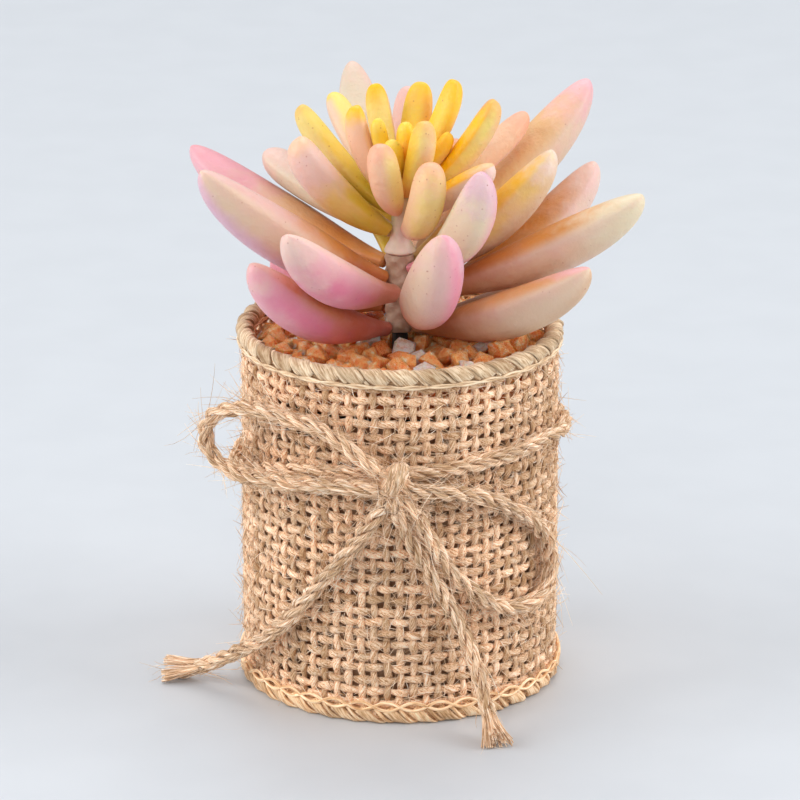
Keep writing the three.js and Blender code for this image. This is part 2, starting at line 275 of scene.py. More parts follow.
@dataclass(frozen=True)
class FibreFinish:
    """Spun plant fibre. Its meshes carry strand, a place along and across a yarn, and tone."""

    name: str
    shade: str
    body: str
    light: str
    blush: str
    grain: float = 5.0
    stretch: float = 0.3
    contrast: tuple[float, float, float] = (0.36, 0.5, 0.63)
    relief: float = 0.00012
    sheen: float = 0.15
    patch: float = 120.0
    aged: str = "dcc0a0"
    blush_strength: float = 0.4
    aged_strength: float = 0.9
    brightness: tuple[float, float] = (0.86, 1.42)

    def material(self) -> bpy.types.Material:
        """Makes streaks along the yarn, and yarns of different tones.

        Returns:
            The fibre's material.
        """
        paint = Paint(self.name)
        strand = paint.attribute("strand")
        tone = paint.attribute("tone", "Fac")
        drawn_out = paint.scaled(strand, (self.stretch, self.grain, self.grain))
        streaks = paint.noise(drawn_out, 1.0, detail=3.0, rough=0.62)
        slubs = paint.noise(paint.scaled(strand, (self.stretch, 0.6, 0.6)), 1.0)
        spots = paint.noise(paint.placed(), self.patch, detail=1.0)
        patches = slubs * 0.5 + spots * 0.5
        base = paint.ramp(streaks, tuple(zip(self.contrast, (self.shade, self.body, self.light))))
        flush = (patches + tone * 0.35).rises(0.5, 0.85) * self.blush_strength
        flushed = paint.blend(flush, base, self.blush, "MULTIPLY")
        fresh = tone * 0.7 + patches * 1.4
        age = fresh.rises(0.5, 1.4, self.aged_strength, 0.0)
        aged = paint.blend(age, flushed, self.aged, "MULTIPLY")
        lit = paint.node(
            "ShaderNodeVectorMath",
            {"operation": "SCALE"},
            {0: aged, "Scale": fresh.rises(0.45, 1.6, *self.brightness)},
        )
        return paint.finish(
            Base_Color=lit,
            Roughness=streaks.rises(0.2, 0.8, 0.95, 0.7),
            Normal=paint.bump(streaks, self.relief),
            Sheen_Weight=self.sheen,
            Sheen_Roughness=0.5,
            Specular_IOR_Level=0.25,
        )


@dataclass(frozen=True)
class MouldedFinish:
    """Moulded plastic with a fine uneven surface and faint clouds of a second colour: stains, and on the pot
    painted shade.
    """

    name: str
    body: str
    stain_and_shade: str
    roughness: float
    scale: float = 220.0
    relief: float = 0.00006
    subsurface: float = 0.0
    fineness: float = 9.0
    smoother: float = 0.1
    rougher: float = 0.12

    def material(self) -> bpy.types.Material:
        """Makes clouds of a second colour under a fine grain.

        Returns:
            The plastic's material.
        """
        paint = Paint(self.name)
        where = paint.placed()
        cloud = paint.noise(where, self.scale, detail=4.0, rough=0.6)
        fine = paint.noise(where, self.scale * self.fineness)
        gloss = (self.roughness - self.smoother, self.roughness + self.rougher)
        return paint.finish(
            Base_Color=paint.blend(cloud.rises(0.35, 0.7), self.body, self.stain_and_shade),
            Roughness=fine.rises(0.2, 0.8, *gloss),
            Normal=paint.bump(fine * 0.4 + cloud, self.relief),
            Subsurface_Weight=self.subsurface,
            Subsurface_Scale=0.002,
        )


@dataclass(frozen=True)
class StoneFinish:
    """Crushed stone. Each stone's tone picks rusty orange, deep orange or a pale cloudy stone."""

    name: str = "gravel_stone"
    rust: Stops = ((0.32, "f07a34"), (0.45, "ff9c50"), (0.57, "ffb87a"), (0.68, "ffe4c8"))
    deep: Stops = ((0.3, "d8702e"), (0.55, "f6924e"), (0.75, "fab484"))
    pale: Stops = ((0.3, "f0b494"), (0.5, "fae0d4"), (0.75, "fff4ec"))
    deep_tones: tuple[float, float] = (0.72, 0.74)
    pale_tones: tuple[float, float] = (0.84, 0.86)
    mottle_scale: float = 900.0
    grit_scale: float = 4200.0
    relief: float = 0.0006

    def material(self) -> bpy.types.Material:
        """Makes mottled, slightly translucent stone of three kinds.

        Returns:
            The stones' material.
        """
        paint = Paint(self.name)
        where = paint.placed()
        tone = paint.attribute("tone", "Fac")
        mottle = paint.noise(where, self.mottle_scale, detail=5.0, rough=0.65)
        grit = paint.noise(where, self.grit_scale, detail=3.0, rough=0.6)
        rust, deep, pale = (paint.ramp(mottle, stops) for stops in (self.rust, self.deep, self.pale))
        warm = paint.blend(tone.rises(*self.deep_tones), rust, deep)
        return paint.finish(
            Base_Color=paint.blend(tone.rises(*self.pale_tones), warm, pale),
            Roughness=(grit - tone * 0.2).rises(0.1, 0.8, 0.15, 0.5),
            Normal=paint.bump(grit * 0.5 + mottle, self.relief),
            Specular_IOR_Level=0.7,
            Subsurface_Weight=0.7,
            Subsurface_Radius=(1.0, 0.5, 0.3),
            Subsurface_Scale=0.003,
        )


# ---- Mesh helpers ----


def unit(vectors: Array) -> Array:
    """The vectors at length one."""
    return vectors / np.maximum(np.linalg.norm(vectors, axis=-1, keepdims=True), 1e-9)


def drift(rng: np.random.Generator, count: int, along: Array, waves: Sequence[float]) -> Array:
    """Smooth random drift between about -1 and 1, a row for each item.

    Args:
        rng: Source of the random phases.
        count: How many rows.
        along: Distance along each item, (R,) or (count, R).
        waves: Wavelengths that are added together.

    Returns:
        An array of (count, R).
    """
    total = np.zeros((count, np.shape(along)[-1]))
    for wave in waves:
        stretch = rng.uniform(0.8, 1.25, (count, 1))
        phase = rng.uniform(0, math.tau, (count, 1))
        total = total + np.sin(math.tau * along * stretch / wave + phase)
    return total / len(waves)


def distances(centres: Array) -> Array:
    """Distance along each line of centres, (N, R, 3) to (N, R)."""
    steps = np.linalg.norm(np.diff(centres, axis=1), axis=-1)
    return np.concatenate([np.zeros((len(centres), 1)), np.cumsum(steps, axis=1)], axis=1)


def transported(centres: Array) -> tuple[Array, Array, Array]:
    """Axes along lines that don't turn about them.

    Args:
        centres: The lines' centres, (N, R, 3).

    Returns:
        The tangents and two normals at each centre.
    """
    tangents = unit(np.gradient(centres, axis=1))
    first = tangents[:, 0]
    is_steep = np.abs(first[:, 2:]) > 0.9
    guide = np.where(is_steep, np.array([[1.0, 0, 0]]), UP[None])
    normal = unit(np.cross(np.cross(first, guide), first))
    normals = [normal]
    for ring in range(1, centres.shape[1]):
        tangent = tangents[:, ring]
        normal = unit(normal - tangent * np.sum(normal * tangent, axis=-1, keepdims=True))
        normals.append(normal)
    stacked = np.stack(normals, axis=1)
    return tangents, stacked, np.cross(tangents, stacked)


def swung(turn: Any, normals: Array, binormals: Array) -> Array:
    """Directions across a line.

    Args:
        turn: Angles from the normals towards the binormals.
        normals: The first directions, (..., 3).
        binormals: The second directions, (..., 3).

    Returns:
        The directions at those angles, (..., 3).
    """
    return np.cos(turn)[..., None] * normals + np.sin(turn)[..., None] * binormals


def polar(radius: Any, angle: Any, height: Any) -> Array:
    """Places around the Z axis.

    Args:
        radius: Distance from the axis, a number or an array as the others are.
        angle: Angle in radians, counter-clockwise from +X seen from above.
        height: Height.

    Returns:
        The places, (..., 3).
    """
    parts = np.broadcast_arrays(radius * np.cos(angle), radius * np.sin(angle), height)
    return np.stack(parts, axis=-1)


def meshed(bm: bmesh.types.BMesh, name: str) -> bpy.types.Mesh:
    """Writes a bmesh to a mesh and frees it.

    Args:
        bm: The bmesh.
        name: Name of the mesh.

    Returns:
        The mesh.
    """
    mesh = bpy.data.meshes.new(name)
    bm.to_mesh(mesh)
    bm.free()
    return mesh


def shown(name: str, data: bpy.types.ID) -> bpy.types.Object:
    """Puts a mesh, a camera or a light in the scene.

    Args:
        name: Name of the object.
        data: What the object shows.

    Returns:
        The object.
    """
    thing = bpy.data.objects.new(name, data)
    bpy.context.scene.collection.objects.link(thing)
    return thing


class TubeForm:
    """An unplaced tube: its mesh, and each vertex's ring and side."""

    made: ClassVar[dict[tuple[int, int], "TubeForm"]] = {}

    def __init__(self, rings: int, sides: int) -> None:
        """Rolls a grid into a tube with closed ends.

        Args:
            rings: Rings of vertices along the tube.
            sides: Vertices in each ring.
        """
        bm = bmesh.new()
        bmesh.ops.create_grid(bm, x_segments=rings - 1, y_segments=sides, size=0.5)
        for vert in bm.verts:
            vert.co = (round((vert.co.x + 0.5) * (rings - 1)), round((vert.co.y + 0.5) * sides), 0)
        places = {(int(v.co.x), int(v.co.y)): v for v in bm.verts}
        seam = {places[ring, sides]: places[ring, 0] for ring in range(rings)}
        bmesh.ops.weld_verts(bm, targetmap=seam)
        for ring in (0, rings - 1):
            rim = [e for e in bm.edges if e.is_boundary and e.verts[0].co.x == ring]
            bmesh.ops.contextual_create(bm, geom=rim)
        self.mesh = meshed(bm, "tube_form")
        self.ring = np.array([round(v.co.x) for v in self.mesh.vertices])
        self.side = np.array([round(v.co.y) for v in self.mesh.vertices])

    @classmethod
    def of(cls, rings: int, sides: int) -> "TubeForm":
        """Finds the tube of a size, or makes it.

        Args:
            rings: Rings of vertices along the tube.
            sides: Vertices in each ring.

        Returns:
            The tube.
        """
        if (rings, sides) not in cls.made:
            cls.made[rings, sides] = cls(rings, sides)
        return cls.made[rings, sides]


class Bundle:
    """Many small closed shapes, gathered into one piece."""

    fibre_offset: ClassVar[float] = 90.0
    offset_along: ClassVar[float] = 7.0

    def __init__(self, name: str) -> None:
        """Starts an empty piece.

        Args:
            name: Its name.
        """
        self.name = name
        self.work = bmesh.new()
        self.places: list[Array] = []
        self.strands: list[Array] = []
        self.tones: list[Array] = []

    def add(self, form: bpy.types.Mesh, places: Array, strands: Array, tones: Array) -> None:
        """Adds copies of a form.

        Args:
            form: The mesh whose faces are copied.
            places: Vertex places in millimetres, (N, V, 3).
            strands: Their strand coordinates, (N, V, 3).
            tones: A tone for each copy, (N,).
        """
        for _ in range(len(places)):
            self.work.from_mesh(form)
        self.places.append(places.reshape(-1, 3))
        self.strands.append(strands.reshape(-1, 3))
        self.tones.append(np.repeat(tones, places.shape[1]))

    def add_tubes(
        self,
        centres: Array,
        widths: Any,
        tones: tuple[float, float],
        sides: int,
        rng: np.random.Generator | None = None,
        depths: Any = None,
        faces: Array | None = None,
        spin: float = 0.0,
    ) -> None:
        """Adds tubes of one length in rings.

        Args:
            centres: Their centre lines, (N, R, 3).
            widths: Width across, a number or (N, R).
            tones: Lowest and highest tone.
            sides: Vertices in each ring.
            rng: Source of each tube's tone and fibre pattern. Without it they are all alike.
            depths: Depth along faces, a number or (N, R). Without it, the width.
            faces: Direction that each ring's depth points in, (N, R, 3).
            spin: Turns of the fibres for each millimetre along.
        """
        count, rings, _ = centres.shape
        tone = np.full(count, tones[0])
        offset = np.zeros((count, 2))
        if rng is not None:
            tone = rng.uniform(*tones, count)
            offset = rng.uniform(0, self.fibre_offset, (count, 2))
        form = TubeForm.of(rings, sides)
        tangents, normals, _ = transported(centres)
        if faces is not None:
            normals = unit(faces - tangents * np.sum(faces * tangents, axis=-1, keepdims=True))
        across = np.cross(tangents, normals)
        thick = widths if depths is None else depths
        width = np.broadcast_to(widths, (count, rings))[:, form.ring, None] / 2
        depth = np.broadcast_to(thick, (count, rings))[:, form.ring, None] / 2
        angle = form.side * math.tau / sides
        cosine, sine = np.cos(angle)[None, :, None], np.sin(angle)[None, :, None]
        places = (
            centres[:, form.ring]
            + across[:, form.ring] * width * cosine
            + normals[:, form.ring] * depth * sine
        )
        along = distances(centres)[:, form.ring]
        turned = angle[None] + math.tau * spin * along
        strands = np.stack(
            [
                along + offset[:, :1] * self.offset_along,
                np.cos(turned) * width[..., 0] + offset[:, :1],
                np.sin(turned) * width[..., 0] + offset[:, 1:],
            ],
            axis=-1,
        )
        self.add(form.mesh, places, strands, tone)

    def finish(
        self, material: bpy.types.Material, slot: str, smooth: bool = True
    ) -> bpy.types.Object:
        """Makes the piece, dresses it and fixes it to the model.

        Args:
            material: Its finish.
            slot: Not used.
            smooth: Whether its faces are shaded smooth.

        Returns:
            The piece.
        """
        spots = np.concatenate(self.places) * MM
        for vert, spot in zip(self.work.verts, spots):
            vert.co = spot
        bmesh.ops.recalc_face_normals(self.work, faces=self.work.faces)
        mesh = meshed(self.work, self.name)
        strand = mesh.attributes.new("strand", "FLOAT_VECTOR", "POINT")
        strand.data.foreach_set("vector", np.concatenate(self.strands).astype(np.float32).ravel())
        tone = mesh.attributes.new("tone", "FLOAT", "POINT")
        tone.data.foreach_set("value", np.concatenate(self.tones).astype(np.float32))
        return settle(mesh, material, smooth)


def settle(
    mesh: bpy.types.Mesh, material: bpy.types.Material, smooth: bool = True
) -> bpy.types.Object:
    """Puts a finished mesh in the scene as a piece of the model.

    Args:
        mesh: The mesh, in metres, whose name the piece takes.
        material: Its finish.
        smooth: Whether its faces are shaded smooth.

    Returns:
        The piece.
    """
    mesh.materials.append(material)
    mesh.polygons.foreach_set("use_smooth", [smooth] * len(mesh.polygons))
    piece = shown(mesh.name, mesh)
    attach(piece, BODY)
    mesh.calc_loop_triangles()
    log.info("%s: %d triangles", piece.name, len(mesh.loop_triangles))
    return piece


class Route:
    """A smooth line through points, the same curve that the CAD source sweeps its rods along."""

    def __init__(self, points: Points | Array, samples: int = 24) -> None:
        """Fits centripetal arcs through the points.

        Args:
            points: Points in millimetres.
            samples: Samples on each arc.
        """
        given = np.array(points, float)
        padded = np.vstack([2 * given[0] - given[1], given, 2 * given[-1] - given[-2]])
        line: list[Array] = []
        for start in range(len(given) - 1):
            line.extend(self._arc(padded[start : start + 4], samples))
        line.append(given[-1])
        self.line = np.array(line)
        self.along = distances(self.line[None])[0]
        self.length = float(self.along[-1])

    @staticmethod
    def _arc(corners: Array, samples: int) -> Array:
        """Samples the arc between the middle two of four points.

        Args:
            corners: The four points.
            samples: How many samples, without the arc's end.

        Returns:
            The samples, (samples, 3).
        """
        gaps = np.maximum(np.linalg.norm(np.diff(corners, axis=0), axis=1) ** 0.5, 1e-4)
        before, here, after, beyond = corners
        leave = (here - before) / gaps[0] - (after - before) / (gaps[0] + gaps[1])
        leave = (leave + (after - here) / gaps[1]) * gaps[1]
        arrive = (after - here) / gaps[1] - (beyond - here) / (gaps[1] + gaps[2])
        arrive = (arrive + (beyond - after) / gaps[2]) * gaps[1]
        t = np.linspace(0, 1, samples, endpoint=False)[:, None]
        cube = (2 * here - 2 * after + leave + arrive) * t**3
        square = (3 * after - 3 * here - 2 * leave - arrive) * t**2
        return cube + square + leave * t + here

    def spaced(self, count: int) -> Array:
        """That many points, evenly spaced along the line."""
        stations = np.linspace(0, self.length, count)
        return np.stack([np.interp(stations, self.along, self.line[:, a]) for a in range(3)], axis=-1)


# ---- Studio ----


@dataclass
class Studio:
    """Camera, floor and soft light. Each light is a name, a place, a size and a power."""

    elevation: float = 19.0
    distance: float = 1000.0
    aim_height: float = 54.0
    focal_pixels: float = 5270.0
    picture_width: float = 800.0
    sensor: float = 36.0
    clip: tuple[float, float] = (0.05, 20.0)
    floor_size: float = 5.0
    floor_mottle: float = 60.0
    air: Colour = (0.93, 0.96, 1.0, 1.0)
    air_strength: float = 0.46
    lights: Sequence[tuple[str, Sequence[float], float, float]] = (
        ("left_light", (-1300, -250, 650), 1000, 12.0),
        ("right_light", (1300, -200, 650), 1000, 13.0),
        ("top_light", (0, 850, 1400), 1200, 11.0),
        ("front_light", (-250, -1150, 1250), 1100, 6.5),
    )

    def build(self) -> None:
        """Makes the camera, the floor and the lights."""
        self._camera()
        self._floor()
        for name, place, size, power in self.lights:
            self._light(name, place, size, power)
        world = bpy.data.worlds.new("studio_air")
        bpy.context.scene.world = world
        world.use_nodes = True
        background = world.node_tree.nodes["Background"]
        background.inputs["Color"].default_value = self.air
        background.inputs["Strength"].default_value = self.air_strength
        bpy.context.scene.view_settings.view_transform = "Standard"

    def _camera(self) -> None:
        """Makes the camera."""
        tilt = math.radians(self.elevation)
        camera = bpy.data.cameras.new("camera")
        camera.sensor_width = self.sensor
        camera.lens = self.focal_pixels / self.picture_width * self.sensor
        camera.clip_start, camera.clip_end = self.clip
        holder = shown("camera", camera)
        away = self.distance * MM
        height = self.aim_height * MM + math.sin(tilt) * away
        holder.location = (0, -math.cos(tilt) * away, height)
        holder.rotation_euler = (math.radians(90) - tilt, 0, 0)
        bpy.context.scene.camera = holder

    def _floor(self) -> None:
        """Makes the floor."""
        paint = Paint("floor_card")
        grain = paint.noise(paint.placed(), self.floor_mottle)
        material = paint.finish(
            Base_Color=paint.blend(grain.rises(0.3, 0.7), "cdd1d6", "cbcfd4"),
            Roughness=0.42,
            Specular_IOR_Level=0.3,
        )
        bm = bmesh.new()
        bmesh.ops.create_grid(bm, x_segments=2, y_segments=2, size=self.floor_size)
        mesh = meshed(bm, "floor")
        mesh.materials.append(material)
        shown("floor", mesh)

    def _light(self, name: str, place: Sequence[float], size: float, power: float) -> None:
        """Makes a square soft box aimed at the plant.

        Args:
            name: Name of the light.
            place: Its centre in millimetres.
            size: Its side in millimetres.
            power: Its power in watts.
        """
        lamp = bpy.data.lights.new(name, "AREA")
        lamp.shape, lamp.size, lamp.energy = "SQUARE", size * MM, power
        holder = shown(name, lamp)
        holder.location = Vector(place) * MM
        aim = Vector((0, 0, self.aim_height * MM)) - holder.location
        holder.rotation_euler = aim.to_track_quat("-Z", "Y").to_euler()


# ---- Twine ----

TWINE_JUTE = FibreFinish("jute_twine_fibre", "b08a66", "eccdaa", "fff4e4", "f4e0d2", aged="e4ceb2")
HAIR_JUTE = FibreFinish("jute_hair_fibre", "c8a078", "fce4c4", "fff8ec", "fbe8d8", grain=2.0)

HAIR_TAPER = np.array([1, 1, 0.9, 0.7, 0.4])
HAIR_BEND = (-0.15, 0.35)
HAIR_SWERVE = 0.34
HAIR_FLOOR = 0.2


def hairs(
    bundle: Bundle,
    rng: np.random.Generator,
    roots: Array,
    aims: Array,
    pulls: Array,
    lengths: tuple[float, float],
    widths: tuple[float, float],
) -> None:
    """Adds single curved hairs.

    Args:
        bundle: The piece they join.
        rng: Source of the random draws.
        roots: Where they start, (N, 3).
        aims: The way they set off, (N, 3).
        pulls: The way they bend, (N, 3).
        lengths: Shortest and longest.
        widths: Thinnest and thickest.
    """
    count = len(roots)
    share = np.linspace(0, 1, len(HAIR_TAPER))[None, :, None]
    length = rng.uniform(*lengths, (count, 1, 1))
    swerve = unit(rng.normal(0, 1, (count, 3)))[:, None]
    bend = rng.uniform(*HAIR_BEND, (count, 1, 1))
    centres = (
        roots[:, None]
        + aims[:, None] * length * share
        + pulls[:, None] * length * bend * share**2
        + swerve * length * HAIR_SWERVE * share**2
    )
    centres[..., 2] = np.maximum(centres[..., 2], HAIR_FLOOR)
    bundle.add_tubes(centres, rng.uniform(*widths, (count, 1)) * HAIR_TAPER, (0, 1), 3, rng)


@dataclass
class Twine:
    """Jute twine of three twisted plies, with loose hairs."""

    diameter: float = 2.4
    plies: int = 3
    lay: float = 0.86
    pitch: float = 11.0
    wander: float = 0.25
    unevenness: float = 0.1
    strands: int = 6
    strand: float = 0.58
    strand_lay: float = 0.42
    strand_pitch: float = 14.0
    strand_wander: float = 0.5
    strand_slack: float = 0.35
    strand_unevenness: float = 0.25
    fibre_spin: float = -0.16
    step: float = 0.75
    sides: int = 6
    hair_density: float = 6.0
    hair_root: float = 0.46
    hair_lift: tuple[float, float] = (1.3, 0.16)
    hair_slant: float = 0.35
    hair_length: tuple[float, float] = (2.0, 8.5)
    hair_width: tuple[float, float] = (0.07, 0.13)
    floor_gap: float = 0.36
    seed: int = 11

    def __post_init__(self) -> None:
        """Starts the random draws and the shared finishes."""
        self.rng = np.random.default_rng(self.seed)
        self.fibre = TWINE_JUTE.material()
        self.hair = HAIR_JUTE.material()

    def stations(self, route: Route) -> Array:
        """Points along a route, a step apart, and at least eight."""
        return route.spaced(max(8, int(route.length / self.step)))

    def lay_plies(self, bundle: Bundle, centres: Array, narrow: float = 1.0) -> None:
        """Lays the twisted plies along a centre line.

        Args:
            bundle: The piece they join.
            centres: Centre line, (R, 3).
            narrow: Scale of the section.
        """
        line = centres[None]
        _, normals, binormals = transported(line)
        along = distances(line)
        phase = self.rng.uniform(0, math.tau)
        for ply in range(self.plies):
            turn = math.tau * (along / self.pitch + ply / self.plies) + phase
            turn = turn + self.wander * drift(self.rng, 1, along, (17, 9))
            uneven = 1 + self.unevenness * drift(self.rng, 1, along, (7, 4))
            lay = self.lay * narrow * uneven
            path = line + lay[..., None] * swung(turn, normals, binormals)
            self._lay_strands(bundle, path, along, narrow)

    def _lay_strands(self, bundle: Bundle, path: Array, along: Array, narrow: float) -> None:
        """Lays the loosely turned strands of one ply.

        Args:
            bundle: The piece they join.
            path: The ply's centre line, (1, R, 3).
            along: Distance along the twine, (1, R).
            narrow: Scale of the section.
        """
        count = self.strands
        _, normals, binormals = transported(path)
        phase = np.arange(count)[:, None] / count - along / self.strand_pitch
        turn = math.tau * phase + self.strand_wander * drift(self.rng, count, along, (19, 7))
        slack = 1 + self.strand_slack * drift(self.rng, count, along, (11, 5))
        lay = self.strand_lay * narrow * slack
        fine = path + lay[..., None] * swung(turn, normals, binormals)
        fine[..., 2] = np.maximum(fine[..., 2], self.floor_gap)
        uneven = 1 + self.strand_unevenness * drift(self.rng, count, along, (8, 3.1))
        girth = self.strand * narrow * uneven
        bundle.add_tubes(fine, girth, (0, 1), self.sides, self.rng, spin=self.fibre_spin)

    def lay_hairs(
        self,
        bundle: Bundle,
        centres: Array,
        density: float = 1.0,
        stray: float = 1.0,
        longer: float = 1.0,
    ) -> None:
        """Adds loose hairs around a centre line.

        Args:
            bundle: The piece they join.
            centres: Centre line, (R, 3).
            density: Scale of their number.
            stray: Scale of how far they stand off.
            longer: Scale of their length.
        """
        line = centres[None]
        tangents, normals, binormals = transported(line)
        length = float(distances(line)[0, -1])
        count = int(length * self.hair_density * density)
        root = self.rng.integers(1, centres.shape[0] - 1, count)
        turn = self.rng.uniform(0, math.tau, count)
        outward = swung(turn, normals[0, root], binormals[0, root])
        sideways = np.cross(tangents[0, root], outward)
        start = centres[root] + outward * self.diameter * self.hair_root
        heading = np.where(self.rng.random((count, 1)) < 0.5, 1.0, -1.0)
        lift = self.rng.gamma(*self.hair_lift, (count, 1)) * stray
        slant = self.rng.normal(0, self.hair_slant, (count, 1))
        aim = unit(tangents[0, root] * heading + outward * lift + sideways * slant)
        shortest, longest = self.hair_length
        lengths = (shortest * longer, longest * longer)
        hairs(bundle, self.rng, start, aim, -outward, lengths, self.hair_width)


class FarEnd(Enum):
    """What the far end of a length of twine is."""

    TIED = "object"
    FRAYED = "bare"


class Lie(Enum):
    """How a length of twine lies."""

    LOOSE = "loose"
    HANGING = "hanging"


@dataclass
class Bow:
    """The bow: its two loops, its two tails, the turn around the pot and the knot."""

    twine: Twine
    wrap_radius: float = 31.2
    wrap_heights: Points = (
        (-90, 50.0), (-60, 51.2), (-30, 51.6), (0, 50.0), (40, 48.5), (80, 46.5),
        (120, 44.0), (155, 42.2), (180, 42.0), (205, 45.0), (230, 48.4), (250, 49.8), (270, 50.0),
    )
    left_loop: Points = (
        (-3.9, -34.6, 51.6), (-8.2, -33.2, 54.8), (-12.0, -31.0, 57.2), (-15.8, -28.8, 58.5),
        (-21.3, -25.4, 59.2), (-26.3, -21.8, 59.6), (-31.0, -18.8, 58.8), (-34.6, -16.8, 56.9),
        (-36.4, -15.8, 53.5), (-36.0, -16.0, 50.2), (-33.9, -17.4, 47.8), (-30.2, -20.2, 46.4),
        (-25.6, -24.0, 46.6), (-19.2, -28.4, 47.4), (-12.8, -32.0, 48.2), (-7.6, -34.2, 48.6),
        (-3.9, -35.2, 48.4),
    )
    right_loop: Points = (
        (2.2, -35.0, 48.4), (7.6, -33.4, 47.4), (13.6, -29.6, 45.5), (18.8, -25.9, 42.5),
        (23.5, -21.6, 38.7), (26.5, -17.9, 34.3), (28.2, -15.2, 29.5), (28.3, -15.0, 25.0),
        (27.2, -17.2, 22.2), (24.5, -20.9, 21.0), (20.6, -24.6, 21.4), (16.3, -28.0, 24.0),
        (12.6, -30.2, 27.6), (9.4, -31.7, 31.5), (6.0, -33.2, 37.3), (3.2, -35.0, 43.2),
    )
    left_tail: Points = (
        (-3.0, -35.0, 45.2), (-6.8, -32.8, 39.0), (-11.4, -30.2, 32.3), (-16.2, -27.6, 25.8),
        (-20.8, -24.6, 19.2), (-25.6, -20.2, 13.4), (-30.4, -15.0, 8.8), (-35.1, -11.0, 5.1),
        (-40.0, -8.5, 2.7), (-45.0, -7.0, 1.4),
    )
    right_tail: Points = (
        (-0.6, -35.4, 44.4), (2.6, -33.6, 36.8), (6.6, -32.2, 29.1), (10.4, -31.4, 21.9),
        (13.3, -31.8, 15.1), (15.1, -33.2, 9.6), (16.3, -35.6, 5.5), (17.4, -39.4, 2.4),
        (18.0, -42.4, 1.4),
    )
    knot_centre: tuple[float, float, float] = (-1.0, -33.5, 50.2)
    knot_size: tuple[float, float, float] = (2.1, 3.7, 3.1)
    knot_fibres: int = 46
    knot_rings: int = 15
    knot_narrowing: float = 0.92
    knot_girth: tuple[float, float] = (0.36, 0.66)
    knot_waist: float = 0.66
    knot_slant: float = 0.9
    knot_passes: Sequence[Points] = (
        ((-3.9, -34.6, 51.6), (-1.4, -34.4, 50.6), (2.2, -35.0, 48.4)),
        ((-3.9, -35.2, 48.4), (-1.0, -34.6, 47.4), (3.2, -35.0, 43.2)),
        ((-1.0, -33.0, 49.0), (-2.0, -34.2, 47.4), (-3.0, -35.0, 45.2)),
        ((-1.4, -33.0, 49.6), (-1.2, -34.6, 47.2), (-0.6, -35.4, 44.4)),
    )
    fray_length: float = 7.0
    fray_strands: int = 40
    fray_turn: float = 0.4
    fray_splay: float = 1.5
    fray_scatter: float = 0.55
    fray_fan: tuple[float, float] = (0.5, 0.95)
    fray_reach: tuple[float, float] = (0.84, 1.0)
    fray_width: tuple[float, float] = (0.2, 0.42)
    fray_taper: float = 0.6
    widest_fray: float = 3.1
    fray_floor: float = 0.3

    def build(self) -> None:
        """Makes every length of twine."""
        self._cord("bow_loop_left", self.left_loop, FarEnd.TIED, Lie.LOOSE)
        self._cord("bow_loop_right", self.right_loop, FarEnd.TIED, Lie.LOOSE)
        self._cord("twine_tail_left", self.left_tail, FarEnd.FRAYED, Lie.HANGING)
        self._cord("twine_tail_right", self.right_tail, FarEnd.FRAYED, Lie.HANGING)
        self._wrap()
        self._knot()

    def _cord(self, node: str, points: Points, far_end: FarEnd, lie: Lie) -> None:
        """Makes one free length of twine with its hairs and any frayed end.

        Args:
            node: The CAD node that it replaces.
            points: Its route.
            far_end: What its far end is.
            lie: How it lies. Not used.
        """
        route = Route(points)
        centres = self.twine.stations(route)
        bundle = Bundle(node + "_plies")
        is_frayed = far_end is FarEnd.FRAYED
        cut = int(self.fray_length / self.twine.step) if is_frayed else 0
        self.twine.lay_plies(bundle, centres[: len(centres) - cut])
        if is_frayed:
            beyond = centres[-1] + (centres[-1] - centres[-2]) * 1.5
            self._fray(bundle, np.vstack([centres[-cut - 2 :], beyond]))
        piece = bundle.finish(self.twine.fibre, "jute_twine")
        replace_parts(piece, node)
        fuzz = Bundle(node + "_hairs")
        self.twine.lay_hairs(fuzz, centres, density=0.5 if is_frayed else 0.9)
        self.twine.lay_hairs(fuzz, centres[: len(centres) // 2], density=0.22, stray=2.5, longer=1.6)
        extras = [fuzz.finish(self.twine.hair, "jute_twine")]
        [c * MM for c in points[0]]
        [tuple(p) for p in route.spaced(len(points) * 3) * MM]

    def _fray(self, bundle: Bundle, centres: Array) -> None:
        """Adds the untwisted end of a tail: each ply opens into a brush of strands.

        Args:
            bundle: The tail.
            centres: Centre line of the frayed stretch.
        """
        rng = self.twine.rng
        line = centres[None]
        _, normals, binormals = transported(line)
        share = np.linspace(0, 1, len(centres))[None, :, None]
        narrow, wide = self.fray_fan
        for ply in range(self.twine.plies):
            turn = math.tau * ply / self.twine.plies + self.fray_turn
            lean = swung(turn, normals, binormals)
            splay = lean * (self.twine.lay * 0.9 + self.fray_splay * share**1.3)
            for _ in range(self.fray_strands):
                spread = rng.normal(0, self.fray_scatter, 2)
                fan = (spread[0] * normals + spread[1] * binormals) * (narrow + wide * share**1.5)
                aside = splay + fan
                far = np.linalg.norm(aside, axis=-1, keepdims=True)
                aside = aside * np.minimum(1, self.widest_fray / far)
                keep = max(6, int(len(centres) * rng.uniform(*self.fray_reach)))
                path = (line + aside)[:, :keep]
                path[..., 2] = np.maximum(path[..., 2], self.fray_floor)
                width = rng.uniform(*self.fray_width) * np.linspace(1, self.fray_taper, keep)
                bundle.add_tubes(path, width, (0.2, 1), 5, rng)

    def _wrap(self) -> None:
        """Makes the turn of twine around the pot."""
        angles, heights = np.array(self.wrap_heights).T
        centres = self.twine.stations(Route(polar(self.wrap_radius, np.radians(angles), heights)))
        bundle = Bundle("twine_wrap_plies")
        self.twine.lay_plies(bundle, centres)
        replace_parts(bundle.finish(self.twine.fibre, "jute_twine"), "twine_wrap")
        fuzz = Bundle("twine_wrap_hairs")
        self.twine.lay_hairs(fuzz, centres, density=0.7)
        fuzz.finish(self.twine.hair, "jute_twine")

